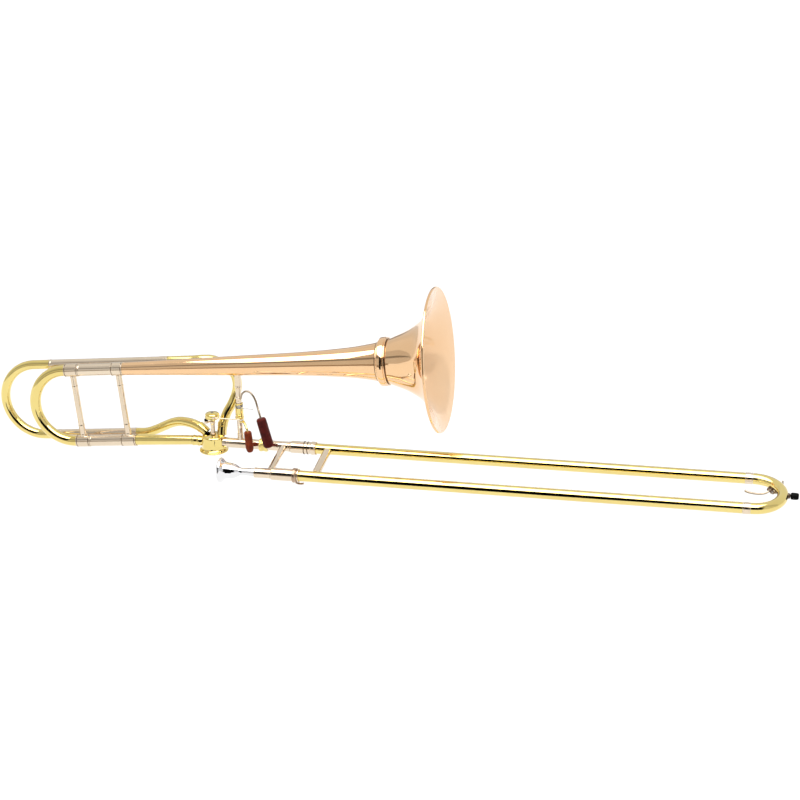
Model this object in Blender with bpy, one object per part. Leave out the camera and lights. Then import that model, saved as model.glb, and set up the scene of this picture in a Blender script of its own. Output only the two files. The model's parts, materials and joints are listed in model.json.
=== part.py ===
"""Tenor trombone with an F attachment, as separate sub-parts in one frame.

Units are metres.  +X runs along the hand slide towards its bow, +Z is up in the plane of the bell, and
the origin is the middle of the inner slide's brace, where the left hand holds the instrument.
"""

import math

import bmesh
import bpy
from mathutils import Matrix, Quaternion, Vector

# ---------------------------------------------------------------- driving dimensions

GAP = 0.0003                       # clearance between pieces that touch
SIDES = 16                         # facets round a tube
BOW_STEPS = 12                     # facets along half a circle
X_AXIS = Vector((1, 0, 0))
Z_AXIS = Vector((0, 0, 1))

# Hand slide: two parallel lines along X, in a plane rolled about X.
SLIDE_SPACING = 0.084
SLIDE_ROLL = math.radians(7.0)
FAR_Y = SLIDE_SPACING / 2 * math.cos(SLIDE_ROLL)
FAR_Z = SLIDE_SPACING / 2 * math.sin(SLIDE_ROLL)
OUTER_SLIDE_RADIUS = 0.0081
INNER_SLIDE_RADIUS = 0.0070
INNER_SLIDE_END = 0.688
OUTER_SLIDE_START = 0.030
BOW_FERRULE_START = 0.6925
BOW_FERRULE_END = 0.7030
NICKEL_TUBE_RADIUS = 0.0077        # receiver, tenon and mouthpiece receiver
BARREL_RADIUS = 0.0093
FAR_BARREL_START = 0.0112
NEAR_BARREL_START = 0.0042
OUTER_BRACE_X = 0.070
INNER_BRACE_RADIUS = 0.0052
OUTER_BRACE_RADIUS = 0.0063
SLIDE_BOW_X = 0.7043               # centre of the bow's half circle
KEY_ANGLE = math.radians(41.0)     # where the water key sits round the bow
KEY_PIVOT = (0.0315, -0.0050)      # from the bow's centre: along that angle, and up
KEY_ARM = (
    (0.0325, -0.0085), (0.0360, -0.0118), (0.0420, -0.0126), (0.0485, -0.0110), (0.0535, -0.0060),
    (0.0548, -0.0005), (0.0542, 0.0025),
)

# Bell section: its own axis along the bell, nose up against the slide.
BELL_RIM_CENTRE = Vector((0.244, FAR_Y, 0.15908))
BELL_TILT = math.radians(5.05)
LEG_SPACING = 0.117                # both tuning slides, centre to centre
BELL_WALL = 0.0006
RIM_BEAD_RADIUS = 0.0021
RIM_WIRE_RADIUS = 0.0011
BELL_STATIONS = (                  # distance from the rim along the bell, outer radius
    (-0.4967, 0.0100), (-0.4400, 0.0114), (-0.3880, 0.0128), (-0.3090, 0.0152), (-0.2140, 0.0178),
    (-0.1370, 0.0227), (-0.0940, 0.0289), (-0.0770, 0.0333), (-0.0600, 0.0396), (-0.0460, 0.0457),
    (-0.0300, 0.0556), (-0.0200, 0.0650), (-0.0100, 0.0796), (-0.0040, 0.0935), (-0.0005, 0.1055),
)
BELL_JOINT_X = -0.0840             # where the flare joins the stem, inside the ring
BELL_RING = (-0.0915, -0.0765)

# Main tuning slide, on the bell axis and on the leg below it.
MAIN_FERRULES = (-0.5933, -0.5705)
SLEEVE_END = -0.4985
STEM_FERRULE = (-0.5160, -0.4970)
NECKPIPE_FERRULE = (-0.5180, -0.4937)
MAIN_BOW_RADIUS = 0.0084
UPPER_LEG_RADIUS = 0.0084
LOWER_LEG_RADIUS = 0.0079
UPPER_FERRULE_RADIUS = 0.0101
LOWER_FERRULE_RADIUS = 0.0095
STEM_FERRULE_RADIUS = 0.0104
NECKPIPE_FERRULE_RADIUS = 0.0097
TUBE_WALL = 0.0006

# F attachment, in a plane behind the bell's.
F_PLANE_Y = 0.032
F_BOW_X = -0.6598
F_LEG_RADIUS = 0.0068
F_SLEEVE_RADIUS = 0.0076
F_TUBE_RADIUS = 0.00735
F_UPPER_SLEEVE = (-0.6320, -0.4354)
F_LOWER_SLEEVE = (-0.6360, -0.5054)

# Rotary valve, its axis upright through the far slide line.
VALVE_CENTRE = Vector((-0.1123, FAR_Y, FAR_Z))
CASING_RADIUS = 0.0178
CASING_BORE = 0.0167
CASING_TOP = 0.0119
CASING_BASE = -0.0116
ROTOR_RADIUS = 0.0164
PORT_RADIUS = 0.0083               # outside the tubes at both ends of the casing
MAIN_PORT_RADIUS = 0.0060
F_PORT_RADIUS = 0.0042
SPINDLE_RADIUS = 0.00205
DRUM_RADIUS = 0.0110
DRUM_BASE = 0.0384
DRUM_TOP = 0.0479
VALVE_STROKE = math.radians(54.0)
BUMPER_REACH = 0.0095              # from the valve's axis to the rubber stop
BUMPER_ANGLE = math.radians(205.0)

# Trigger: a barrel that turns on the upright post, linked to the drum by a parallel rod.
POST_CENTRE = Vector((-0.0683, FAR_Y, 0.0))
POST_RADIUS = 0.0042
LINK_Z = 0.0488
LINK_ARM = 0.0145                  # from either axis to its pin
LINK_START = math.radians(-63.0)
LINK_PIN_RADIUS = 0.0012

# Mouthpiece.
MOUTHPIECE_RIM_X = -0.0770
MOUTHPIECE_END_X = 0.0030

# ---------------------------------------------------------------- materials


def finish(name, colour, roughness, metallic):
    """A plain Principled material."""
    material = bpy.data.materials.new(name)
    material.use_nodes = True
    shader = material.node_tree.nodes["Principled BSDF"]
    shader.inputs["Base Color"].default_value = (*colour, 1.0)
    shader.inputs["Roughness"].default_value = roughness
    shader.inputs["Metallic"].default_value = metallic
    material.diffuse_color = (*colour, 1.0)
    return material


def make_finishes():
    """One material for each kind of surface on the instrument."""
    return {
        "yellow_brass": finish("yellow_brass", (0.83, 0.62, 0.22), 0.16, 1.0),
        "rose_brass": finish("rose_brass", (0.80, 0.50, 0.26), 0.18, 1.0),
        "nickel": finish("nickel", (0.66, 0.60, 0.52), 0.16, 1.0),
        "silver": finish("silver", (0.90, 0.89, 0.87), 0.10, 1.0),
        "steel": finish("steel", (0.45, 0.44, 0.42), 0.30, 1.0),
        "black_rubber": finish("black_rubber", (0.02, 0.02, 0.02), 0.55, 0.0),
        "cork": finish("cork", (0.45, 0.28, 0.15), 0.85, 0.0),
        "orange_leather": finish("orange_leather", (0.30, 0.075, 0.02), 0.55, 0.0),
        "red_leather": finish("red_leather", (0.11, 0.012, 0.008), 0.50, 0.0),
    }


# ---------------------------------------------------------------- frames and objects


def make_frame(name, location, rotation=(0, 0, 0), parent=None):
    """An empty that carries the pieces on one axis."""
    frame = bpy.data.objects.new(name, None)
    frame.location = location
    frame.rotation_euler = rotation
    frame.parent = parent
    frame.empty_display_size = 0.02
    bpy.context.scene.collection.objects.link(frame)
    return frame


def place(name, mesh_builder, material, parent, at=(0, 0, 0), along=X_AXIS):
    """Turn a bmesh into a named object whose local X points along the given direction."""
    bmesh.ops.recalc_face_normals(mesh_builder, faces=mesh_builder.faces)
    mesh = bpy.data.meshes.new(name)
    mesh_builder.to_mesh(mesh)
    mesh_builder.free()
    mesh.shade_smooth()
    mesh.set_sharp_from_angle(angle=math.radians(35))
    mesh.materials.append(material)
    piece = bpy.data.objects.new(name, mesh)
    piece.location = at
    piece.rotation_mode = "QUATERNION"
    piece.rotation_quaternion = X_AXIS.rotation_difference(Vector(along))
    piece.parent = parent
    bpy.context.scene.collection.objects.link(piece)
    return piece


def skin(builder, first, second):
    """Faces between two rings, where a ring of one vertex is a point on the axis."""
    count = max(len(first), len(second))
    for i in range(count):
        j = (i + 1) % count
        corners = [first[i % len(first)], first[j % len(first)], second[j % len(second)],
                   second[i % len(second)]]
        face = list(dict.fromkeys(corners))
        if len(face) > 2:
            builder.faces.new(face)


def turned(name, outline, material, parent, at=(0, 0, 0), along=X_AXIS, sides=SIDES):
    """A lathe shape.  The outline runs (distance, radius); it closes on itself unless it ends on the axis."""
    builder = bmesh.new()
    rings = []
    for reach, radius in outline:
        if radius == 0:
            rings.append([builder.verts.new((reach, 0, 0))])
            continue
        angles = [2 * math.pi * i / sides for i in range(sides)]
        rings.append([builder.verts.new((reach, radius * math.cos(a), radius * math.sin(a))) for a in angles])
    for first, second in zip(rings, rings[1:]):
        skin(builder, first, second)
    if outline[0][1] and outline[-1][1]:
        skin(builder, rings[-1], rings[0])
    return place(name, builder, material, parent, at, along)


def tube(name, start, end, outer, inner, material, parent, sides=SIDES):
    """A straight open tube on the parent's X axis."""
    outline = [(start, inner), (start, outer), (end, outer), (end, inner)]
    return turned(name, outline, material, parent, sides=sides)


def swept(name, path, outer, inner, material, parent, sides=SIDES):
    """A tube along a path; each radius is one number or a (start, end) pair, and inner 0 is a solid rod."""
    outer = outer if isinstance(outer, tuple) else (outer, outer)
    inner = inner if isinstance(inner, tuple) else (inner, inner)
    points = [Vector(p) for p in path]
    last = len(points) - 1
    tangents = [(points[min(i + 1, last)] - points[max(i - 1, 0)]).normalized() for i in range(last + 1)]
    across = tangents[0].orthogonal().normalized()
    builder = bmesh.new()
    outside, inside = [], []
    for i, (point, tangent) in enumerate(zip(points, tangents)):
        if i:
            across = tangents[i - 1].rotation_difference(tangent) @ across
        share = i / last
        for rings, radii in ((outside, outer), (inside, inner)):
            radius = radii[0] + (radii[1] - radii[0]) * share
            if radius:
                turn = [Quaternion(tangent, 2 * math.pi * k / sides) @ across for k in range(sides)]
                rings.append([builder.verts.new(point + radius * t) for t in turn])
    for rings in (outside, inside):
        for first, second in zip(rings, rings[1:]):
            skin(builder, first, second)
    for end in (0, -1):
        if inside:
            skin(builder, outside[end], inside[end])
        else:
            builder.faces.new(outside[end])
    return place(name, builder, material, parent)


def smooth_curve(points, spacing):
    """A cubic curve through the points, with tangents taken over the chords on either side."""
    points = [Vector(p) for p in points]
    knots = [0.0]
    for a, b in zip(points, points[1:]):
        knots.append(knots[-1] + (b - a).length)
    last = len(points) - 1
    slopes = []
    for i in range(last + 1):
        low, high = max(i - 1, 0), min(i + 1, last)
        slopes.append((points[high] - points[low]) / (knots[high] - knots[low]))
    curve = [points[0]]
    for i in range(last):
        span = knots[i + 1] - knots[i]
        steps = max(1, round(span / spacing))
        for step in range(1, steps + 1):
            t = step / steps
            curve.append(
                points[i] * (2 * t**3 - 3 * t**2 + 1) + slopes[i] * span * (t**3 - 2 * t**2 + t)
                + points[i + 1] * (3 * t**2 - 2 * t**3) + slopes[i + 1] * span * (t**3 - t**2)
            )
    return curve


def cut(target, cutter):
    """Take a cutter's volume away from a piece, and keep the cutter out of the model."""
    cutter.hide_render = True
    cutter.display_type = "WIRE"
    modifier = target.modifiers.new("cut", "BOOLEAN")
    modifier.operation = "DIFFERENCE"
    modifier.solver = "EXACT"
    modifier.object = cutter


def join(target, extra):
    """Weld another shape to a piece, as one body."""
    extra.hide_render = True
    extra.display_type = "WIRE"
    modifier = target.modifiers.new("join", "BOOLEAN")
    modifier.operation = "UNION"
    modifier.solver = "EXACT"
    modifier.object = extra


def round_bar(name, start, end, radius, material, parent, sides=SIDES):
    """A plain round bar between two points of the parent's frame, for welding or cutting."""
    start, end = Vector(start), Vector(end)
    length = (end - start).length
    outline = [(0, 0), (0, radius), (length, radius), (length, 0)]
    return turned(name, outline, material, parent, at=start, along=end - start, sides=sides)


def saddle(target, start, end, radius, parent):
    """Hollow a piece's foot so that it sits on a tube of the given radius."""
    cutter = round_bar(target.name + "_seat", start, end, radius + GAP, target.data.materials[0], parent, 48)
    cut(target, cutter)


# ---------------------------------------------------------------- bell section


def sheet_outline(curve, thickness):
    """A closed outline of a sheet whose outer side is the given curve."""
    points = [Vector(p) for p in curve]
    last = len(points) - 1
    inner = []
    for i, point in enumerate(points):
        tangent = (points[min(i + 1, last)] - points[max(i - 1, 0)]).normalized()
        inner.append(point + thickness * Vector((tangent.y, -tangent.x)))
    return points, inner


def bell_radius(reach):
    """Outer radius of the bell between its stations, by straight interpolation."""
    for (x0, r0), (x1, r1) in zip(BELL_STATIONS, BELL_STATIONS[1:]):
        if x0 <= reach <= x1:
            return r0 + (r1 - r0) * (reach - x0) / (x1 - x0)
    return BELL_STATIONS[-1][1]


def make_bell(finishes, bell_axis):
    """The stem, the flare with its rolled rim and wire, and the ring over their joint."""
    joint = (BELL_JOINT_X, bell_radius(BELL_JOINT_X))
    stem_points = [s for s in BELL_STATIONS if s[0] < BELL_JOINT_X] + [joint]
    outer, inner = sheet_outline(smooth_curve(stem_points, 0.060), BELL_WALL)
    turned("bell_stem", [*outer, *reversed(inner)], finishes["rose_brass"], bell_axis, sides=24)

    start = BELL_JOINT_X + GAP
    flare_points = [(start, bell_radius(start))] + [s for s in BELL_STATIONS if s[0] > BELL_JOINT_X]
    outer, inner = sheet_outline(smooth_curve(flare_points, 0.020), BELL_WALL)
    back = (outer[-1] - inner[-1]).normalized()
    centre = inner[-1] + back * RIM_BEAD_RADIUS
    turns = [math.radians(a) for a in range(56, 281, 56)]
    roll_in = [centre + Matrix.Rotation(a, 2) @ -back * (RIM_BEAD_RADIUS - BELL_WALL) for a in turns]
    roll_out = [centre + Matrix.Rotation(a, 2) @ -back * RIM_BEAD_RADIUS for a in turns]
    outline = [*outer, *roll_in, *reversed(roll_out), *reversed(inner)]
    turned("bell_flare", outline, finishes["rose_brass"], bell_axis, sides=32)

    wire = [math.radians(a) for a in range(0, 360, 60)]
    outline = [centre + RIM_WIRE_RADIUS * Vector((math.cos(a), math.sin(a))) for a in wire]
    turned("bell_rim_wire", outline, finishes["steel"], bell_axis, sides=32)

    low, high = BELL_RING
    outline = [
        (low, bell_radius(low) + GAP), (low, 0.0315), (low + 0.0018, 0.0317), (low + 0.0022, 0.0345),
        (low + 0.0052, 0.0364), (low + 0.0085, 0.0368), (low + 0.0115, 0.0366), (high, 0.0360),
        (high, bell_radius(high) + GAP), (BELL_JOINT_X, bell_radius(BELL_JOINT_X) + 2 * GAP),
    ]
    turned("bell_ring", outline, finishes["nickel"], bell_axis, sides=28)


def make_main_legs(finishes, bell_axis, slide_axis):
    """Fixed outer sleeves and ferrules, and the inner legs that draw out with the bow."""
    lower_axis = make_frame("lower_leg_axis", (0, 0, -LEG_SPACING), parent=bell_axis)
    lower_slide = make_frame("lower_slide_axis", (0, 0, -LEG_SPACING), parent=slide_axis)
    nickel = finishes["nickel"]
    rows = (
        ("upper", bell_axis, slide_axis, UPPER_LEG_RADIUS, UPPER_FERRULE_RADIUS),
        ("lower", lower_axis, lower_slide, LOWER_LEG_RADIUS, LOWER_FERRULE_RADIUS),
    )
    first, last = MAIN_FERRULES
    for side, fixed, moving, leg, ferrule in rows:
        sleeve_bore = leg + 0.0004
        tube(f"main_sleeve_{side}", last + GAP, SLEEVE_END, sleeve_bore + TUBE_WALL, sleeve_bore, nickel,
             fixed)
        outline = [
            (first, leg - 0.0005), (first, ferrule), (last, ferrule), (last, leg),
            (SLEEVE_END - 0.0045, leg), (SLEEVE_END - 0.0045, leg - 0.0005),
        ]
        turned(f"main_leg_{side}", outline, nickel, moving)
    tube("stem_ferrule", *STEM_FERRULE, STEM_FERRULE_RADIUS, UPPER_LEG_RADIUS + 0.0013, nickel, bell_axis)
    tube("neckpipe_ferrule", *NECKPIPE_FERRULE, NECKPIPE_FERRULE_RADIUS, LOWER_LEG_RADIUS + 0.0013, nickel,
         lower_axis)
    return lower_axis


def bow_path(radius, straight, steps):
    """Half a circle in the XZ plane that opens towards +X, with straight ends of the given lengths."""
    top, bottom = straight
    path = [(top, 0, radius), (top / 2, 0, radius)]
    for i in range(steps + 1):
        angle = math.pi / 2 + math.pi * i / steps
        path.append((radius * math.cos(angle), 0, radius * math.sin(angle)))
    return [*path, (bottom / 2, 0, -radius), (bottom, 0, -radius)]


def make_brace(name, x, top_seat, bottom_seat, material, frame, seat_frame):
    """An upright brace between two legs: a thin rod with a thicker socket at each end."""
    socket, rod, length = 0.0050, 0.0046, 0.020
    top, bottom = -top_seat + 0.004, -LEG_SPACING + bottom_seat - 0.004
    outline = [
        (0, 0), (0, socket), (length, socket), (length + 0.0006, rod),
        (top - bottom - length - 0.0006, rod), (top - bottom - length, socket), (top - bottom, socket),
        (top - bottom, 0),
    ]
    brace = turned(name, outline, material, frame, at=(x, 0, top), along=-Z_AXIS, sides=16)
    for z, seat in ((0, top_seat), (-LEG_SPACING, bottom_seat)):
        saddle(brace, (x - 0.02, 0, z), (x + 0.02, 0, z), seat, seat_frame)


def make_main_slide(finishes, slide_axis):
    """The bow of the main tuning slide and the brace between its ferrules."""
    bow_centre = MAIN_FERRULES[0] - 0.0013
    bow_frame = make_frame("main_bow_centre", (bow_centre, 0, -LEG_SPACING / 2), parent=slide_axis)
    reach = MAIN_FERRULES[0] - GAP - bow_centre
    path = bow_path(LEG_SPACING / 2, (reach, reach), BOW_STEPS)
    radii = (MAIN_BOW_RADIUS + 0.0003, MAIN_BOW_RADIUS - 0.0003)
    walls = (radii[0] - TUBE_WALL, radii[1] - TUBE_WALL)
    swept("main_bow", path, radii, walls, finishes["yellow_brass"], bow_frame)
    middle = sum(MAIN_FERRULES) / 2
    make_brace("main_brace", middle, UPPER_FERRULE_RADIUS, LOWER_FERRULE_RADIUS, finishes["nickel"],
               slide_axis, slide_axis)


def make_f_slide(finishes, bell_axis, f_slide_axis):
    """The F attachment's sleeves, and its bow with two legs."""
    upper, lower = F_UPPER_SLEEVE, F_LOWER_SLEEVE
    bore = F_LEG_RADIUS + GAP
    rows = (("upper", 0.0, upper), ("lower", -LEG_SPACING, lower))
    for side, z, sleeve in rows:
        fixed = make_frame(f"f_{side}_axis", (0, F_PLANE_Y, z), parent=bell_axis)
        moving = make_frame(f"f_{side}_slide_axis", (0, F_PLANE_Y, z), parent=f_slide_axis)
        tube(f"f_sleeve_{side}", *sleeve, F_SLEEVE_RADIUS, bore, finishes["nickel"], fixed)
        tube(f"f_leg_{side}", F_BOW_X + 0.004, sleeve[0] + 0.1, F_LEG_RADIUS, F_LEG_RADIUS - 0.0005,
             finishes["nickel"], moving)
    bow_frame = make_frame("f_bow_centre", (F_BOW_X, F_PLANE_Y, -LEG_SPACING / 2), parent=f_slide_axis)
    straight = (upper[0] - GAP - F_BOW_X, lower[0] - GAP - F_BOW_X)
    path = bow_path(LEG_SPACING / 2, straight, BOW_STEPS)
    swept("f_bow", path, F_SLEEVE_RADIUS, bore, finishes["yellow_brass"], bow_frame)


def make_f_tubes(finishes, bell_axis):
    """The crook from the upper leg and the S bend from the lower leg, both into the top of the valve."""
    upper_start = bell_axis.matrix_world @ Vector((F_UPPER_SLEEVE[1] + GAP, F_PLANE_Y, 0))
    upper_bend = bell_axis.matrix_world @ Vector((-0.3650, F_PLANE_Y, 0))
    crook = [
        upper_start, upper_start.lerp(upper_bend, 0.5), upper_bend,
        (-0.0995, 0.0737, 0.1195), (-0.0835, 0.0737, 0.1050), (-0.0800, 0.0733, 0.0890),
        (-0.0828, 0.0720, 0.0735), (-0.0893, 0.0693, 0.0578), (-0.0950, 0.0650, 0.0475),
        (-0.0985, 0.0595, 0.0375), (-0.1003, 0.0530, 0.0275), (-0.1005, 0.0490, 0.0170),
        (-0.1005, 0.0480, 0.0110),
    ]
    wall = F_TUBE_RADIUS - TUBE_WALL
    crook_tube = swept("f_crook", smooth_curve(crook, 0.016), F_TUBE_RADIUS, wall,
                       finishes["yellow_brass"], None, 16)

    lower_start = bell_axis.matrix_world @ Vector((F_LOWER_SLEEVE[1] + GAP, F_PLANE_Y, -LEG_SPACING))
    s_bend = [
        lower_start, (-0.2320, 0.0737, -0.0002), (-0.2170, 0.0732, 0.0055), (-0.1995, 0.0712, 0.0145),
        (-0.1860, 0.0685, 0.0212), (-0.1713, 0.0645, 0.0255), (-0.1530, 0.0585, 0.0262),
        (-0.1380, 0.0530, 0.0232), (-0.1290, 0.0500, 0.0175), (-0.1250, 0.0490, 0.0100),
    ]
    s_tube = swept("f_s_bend", smooth_curve(s_bend, 0.014), F_TUBE_RADIUS, wall, finishes["yellow_brass"],
                   None, 16)
    for target in (crook_tube, s_tube):
        foot = VALVE_CENTRE + Vector((0, 0, CASING_BASE - 0.02))
        head = VALVE_CENTRE + Vector((0, 0, CASING_TOP + GAP))
        cutter = round_bar(target.name + "_seat", foot, head, CASING_RADIUS + GAP, finishes["steel"], None,
                           48)
        cut(target, cutter)
        ends = [VALVE_CENTRE + Vector((x, 0, 0)) for x in (-0.04, 0.04)]
        port = round_bar(target.name + "_port_seat", *ends, PORT_RADIUS + GAP, finishes["steel"], None, 48)
        cut(target, port)


def make_neckpipe(finishes, lower_axis):
    """The tapered tube from the tuning slide to the valve's rear port."""
    start = lower_axis.matrix_world @ Vector((NECKPIPE_FERRULE[1] + GAP, 0, 0))
    end = Vector((-0.1460, FAR_Y, FAR_Z + 0.0002))
    path = [start.lerp(end, i / 4) for i in range(5)]
    swept("neckpipe", path, (0.00825, 0.00735), (0.00765, 0.00675), finishes["yellow_brass"], None)


# ---------------------------------------------------------------- valve


def make_valve(finishes, valve_axis, rotor_axis):
    """Casing, cap and bearing, and the rotor with its drum."""
    brass = finishes["yellow_brass"]
    casing = turned("valve_casing", [
        (CASING_BASE, CASING_BORE), (0.0103, CASING_BORE), (0.0103, SPINDLE_RADIUS + 0.00035),
        (CASING_TOP, SPINDLE_RADIUS + 0.00035), (CASING_TOP, 0.0145), (0.0113, 0.0164),
        (0.0095, CASING_RADIUS),
        (-0.0087, CASING_RADIUS), (-0.0097, 0.0188), (-0.0108, 0.0205), (CASING_BASE, 0.0216),
    ], brass, valve_axis, along=Z_AXIS, sides=28)
    through = round_bar("valve_bore_cutter", (-0.03, 0, 0), (0.03, 0, 0), MAIN_PORT_RADIUS + 0.0006, brass,
                        valve_axis)
    cut(casing, through)
    for side, x, y in (("left", -0.0104, 0.0060), ("right", 0.0106, 0.0062)):
        hole = round_bar(f"casing_{side}_cutter", (x, y, 0.008), (x, y, 0.014), 0.0040, brass, valve_axis, 24)
        cut(casing, hole)
    turned("valve_cap", [
        (-0.0110, 0), (-0.0110, 0.0160), (-0.0119, 0.0163), (-0.0119, 0.0217), (-0.0128, 0.0223),
        (-0.0140, 0.0222), (-0.0150, 0.0205), (-0.0150, 0),
    ], brass, valve_axis, along=Z_AXIS, sides=28)
    bearing = turned("valve_bearing", [
        (CASING_TOP + GAP, SPINDLE_RADIUS + 0.00035), (CASING_TOP + GAP, 0.0033), (0.030, 0.0033),
        (0.031, 0.0040), (0.034, 0.0040), (0.034, SPINDLE_RADIUS + 0.00035),
    ], finishes["nickel"], valve_axis, along=Z_AXIS, sides=20)
    stop = Vector((BUMPER_REACH, 0, 0))
    stop.rotate(Quaternion(Z_AXIS, BUMPER_ANGLE))
    join(bearing, round_bar("bumper_arm", Vector((0, 0, 0.0330)) + stop * 0.32,
                            Vector((0, 0, 0.0330)) + stop, 0.0014, finishes["nickel"], valve_axis, 12))
    join(bearing, round_bar("bumper_table", stop + Vector((0, 0, 0.0314)), stop + Vector((0, 0, 0.0347)),
                            0.0030,
                            finishes["nickel"], valve_axis, 16))

    rotor = turned("valve_rotor", [
        (-0.0107, 0), (-0.0107, ROTOR_RADIUS), (0.0099, ROTOR_RADIUS), (0.0099, SPINDLE_RADIUS),
        (0.0440, SPINDLE_RADIUS), (0.0440, 0),
    ], finishes["steel"], rotor_axis, along=Z_AXIS, sides=28)
    main = round_bar("rotor_main_cutter", (-0.03, 0, 0), (0.03, 0, 0), MAIN_PORT_RADIUS, brass, rotor_axis,
                     24)
    cut(rotor, main)
    for side, port_angle in (("left", math.pi), ("right", 0.0)):
        ahead = port_angle + VALVE_STROKE
        top_angle = ahead + math.radians(30.0 if side == "right" else -30.0)
        edge = Vector((ROTOR_RADIUS * math.cos(ahead), ROTOR_RADIUS * math.sin(ahead), 0))
        top = Vector((0.0118 * math.cos(top_angle), 0.0118 * math.sin(top_angle), 0.0099))
        direction = (top - edge).normalized()
        passage = round_bar(f"rotor_{side}_cutter", edge - direction * 0.012, top + direction * 0.012,
                            F_PORT_RADIUS, brass, rotor_axis, 20)
        cut(rotor, passage)

    bore = SPINDLE_RADIUS + 0.00035
    drum = turned("stop_drum", [
        (DRUM_BASE, bore), (DRUM_BASE, DRUM_RADIUS - 0.0008), (DRUM_BASE + 0.0008, DRUM_RADIUS),
        (DRUM_TOP - 0.0030, DRUM_RADIUS), (DRUM_TOP - 0.0010, DRUM_RADIUS - 0.0013), (DRUM_TOP, 0.0065),
        (DRUM_TOP + 0.0003, 0.0035), (DRUM_TOP + 0.0003, 0.0017), (0.0445, 0.0017), (0.0445, bore),
    ], finishes["yellow_brass"], rotor_axis, along=Z_AXIS, sides=24)
    add_link_arm(drum, DRUM_RADIUS - 0.003, rotor_axis, VALVE_CENTRE.z)
    turned("stop_screw", [
        (0.0447, 0), (0.0447, 0.0013), (DRUM_TOP + 0.0006, 0.0013), (DRUM_TOP + 0.0006, 0.0027),
        (DRUM_TOP + 0.0012, 0.0027), (DRUM_TOP + 0.0016, 0.0020), (DRUM_TOP + 0.0016, 0),
    ], finishes["steel"], rotor_axis, along=Z_AXIS, sides=16)
    turned("stop_bumper", [
        (0.0350, 0), (0.0350, 0.0028), (0.0356, 0.0032), (0.0375, 0.0032), (0.0381, 0.0028), (0.0381, 0),
    ], finishes["black_rubber"], valve_axis, at=stop, along=Z_AXIS, sides=16)


def link_pin(turn):
    """Offset from a hinge axis to its link pin, at a given turn from rest."""
    angle = LINK_START + turn
    return Vector((LINK_ARM * math.cos(angle), LINK_ARM * math.sin(angle), 0))


def add_link_arm(target, inner_reach, frame, frame_z):
    """Weld a flat arm with an upright pin to a turning piece."""
    material = target.data.materials[0]
    pin = link_pin(0)
    base = LINK_Z - 0.0036 - frame_z
    start = pin.normalized() * inner_reach + Vector((0, 0, base + 0.0009))
    end = pin + Vector((0, 0, base + 0.0009))
    arm = round_bar(target.name + "_arm", start, end, 0.0009, material, frame, 12)
    eye = round_bar(target.name + "_eye", pin + Vector((0, 0, base)), pin + Vector((0, 0, base + 0.0018)),
                    0.0027,
                    material, frame, 20)
    peg = round_bar(target.name + "_peg", pin + Vector((0, 0, base + 0.0005)),
                    pin + Vector((0, 0, base + 0.0062)), LINK_PIN_RADIUS, material, frame, 16)
    for extra in (arm, eye, peg):
        join(target, extra)


# ---------------------------------------------------------------- trigger and hand rest


def make_post(finishes, bell_axis):
    """The upright brace from the bell stem to the slide receiver."""
    x, y = POST_CENTRE.x, POST_CENTRE.y
    post = turned("post", [
        (0.006, 0), (0.006, 0.0047), (0.022, 0.0047), (0.0225, POST_RADIUS), (0.0960, POST_RADIUS),
        (0.0970, 0.0052), (0.1220, 0.0052), (0.1220, 0),
    ], finishes["nickel"], None, at=(x, y, 0), along=Z_AXIS, sides=24)
    reach = (bell_axis.matrix_world.inverted() @ Vector((x, y, 0.13))).x
    stem_seat = turned("post_seat", [
        (reach - 0.04, 0), (reach - 0.04, bell_radius(reach - 0.04) + 2 * GAP),
        (reach + 0.04, bell_radius(reach + 0.04) + 2 * GAP), (reach + 0.04, 0),
    ], finishes["nickel"], bell_axis, sides=48)
    cut(post, stem_seat)
    saddle(post, (x - 0.02, FAR_Y, FAR_Z), (x + 0.02, FAR_Y, FAR_Z), NICKEL_TUBE_RADIUS, None)


def make_trigger(finishes, trigger_axis):
    """The barrel on the post with its blade and pad, and the spring round its neck."""
    brass = finishes["yellow_brass"]
    bore = POST_RADIUS + GAP
    lever = turned("trigger_lever", [
        (0.0452, bore), (0.0452, 0.0066), (0.0500, 0.0066), (0.0506, 0.0061), (0.0630, 0.0061),
        (0.0636, 0.0050), (0.0700, 0.0050), (0.0700, 0.0061), (0.0714, 0.0061), (0.0714, bore),
    ], brass, trigger_axis, along=Z_AXIS, sides=20)
    add_link_arm(lever, 0.0056, trigger_axis, 0.0)
    blade = [
        (0.0040, -0.0040, 0.0470), (0.0095, -0.0105, 0.0450), (0.0145, -0.0165, 0.0408),
        (0.0172, -0.0195, 0.0360),
        (0.0182, -0.0200, 0.0300), (0.0192, -0.0200, 0.0180), (0.0202, -0.0200, 0.0060),
    ]
    blade_rod = swept("trigger_blade", smooth_curve(blade, 0.005), 0.0017, 0, brass, trigger_axis, 12)
    join(lever, blade_rod)

    top, bottom = Vector((0.0180, -0.0200, 0.0335)), Vector((0.0207, -0.0200, -0.0005))
    length = (bottom - top).length
    pad = turned("trigger_pad", [
        (0, 0), (0, 0.0044), (0.0012, 0.0056), (0.0035, 0.0061), (length - 0.0050, 0.0061),
        (length - 0.0018, 0.0046), (length, 0.0020), (length, 0),
    ], finishes["orange_leather"], trigger_axis, at=top, along=bottom - top, sides=16)
    pocket = [Vector(p) + Vector((0, 0, 0.002 if i == 0 else 0)) for i, p in enumerate(blade[3:])]
    pocket[-1] += Vector((0.0001, 0, -0.0008))
    cut(pad, swept("trigger_pad_pocket", smooth_curve(pocket, 0.005), 0.0021, 0, brass, trigger_axis, 12))


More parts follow.
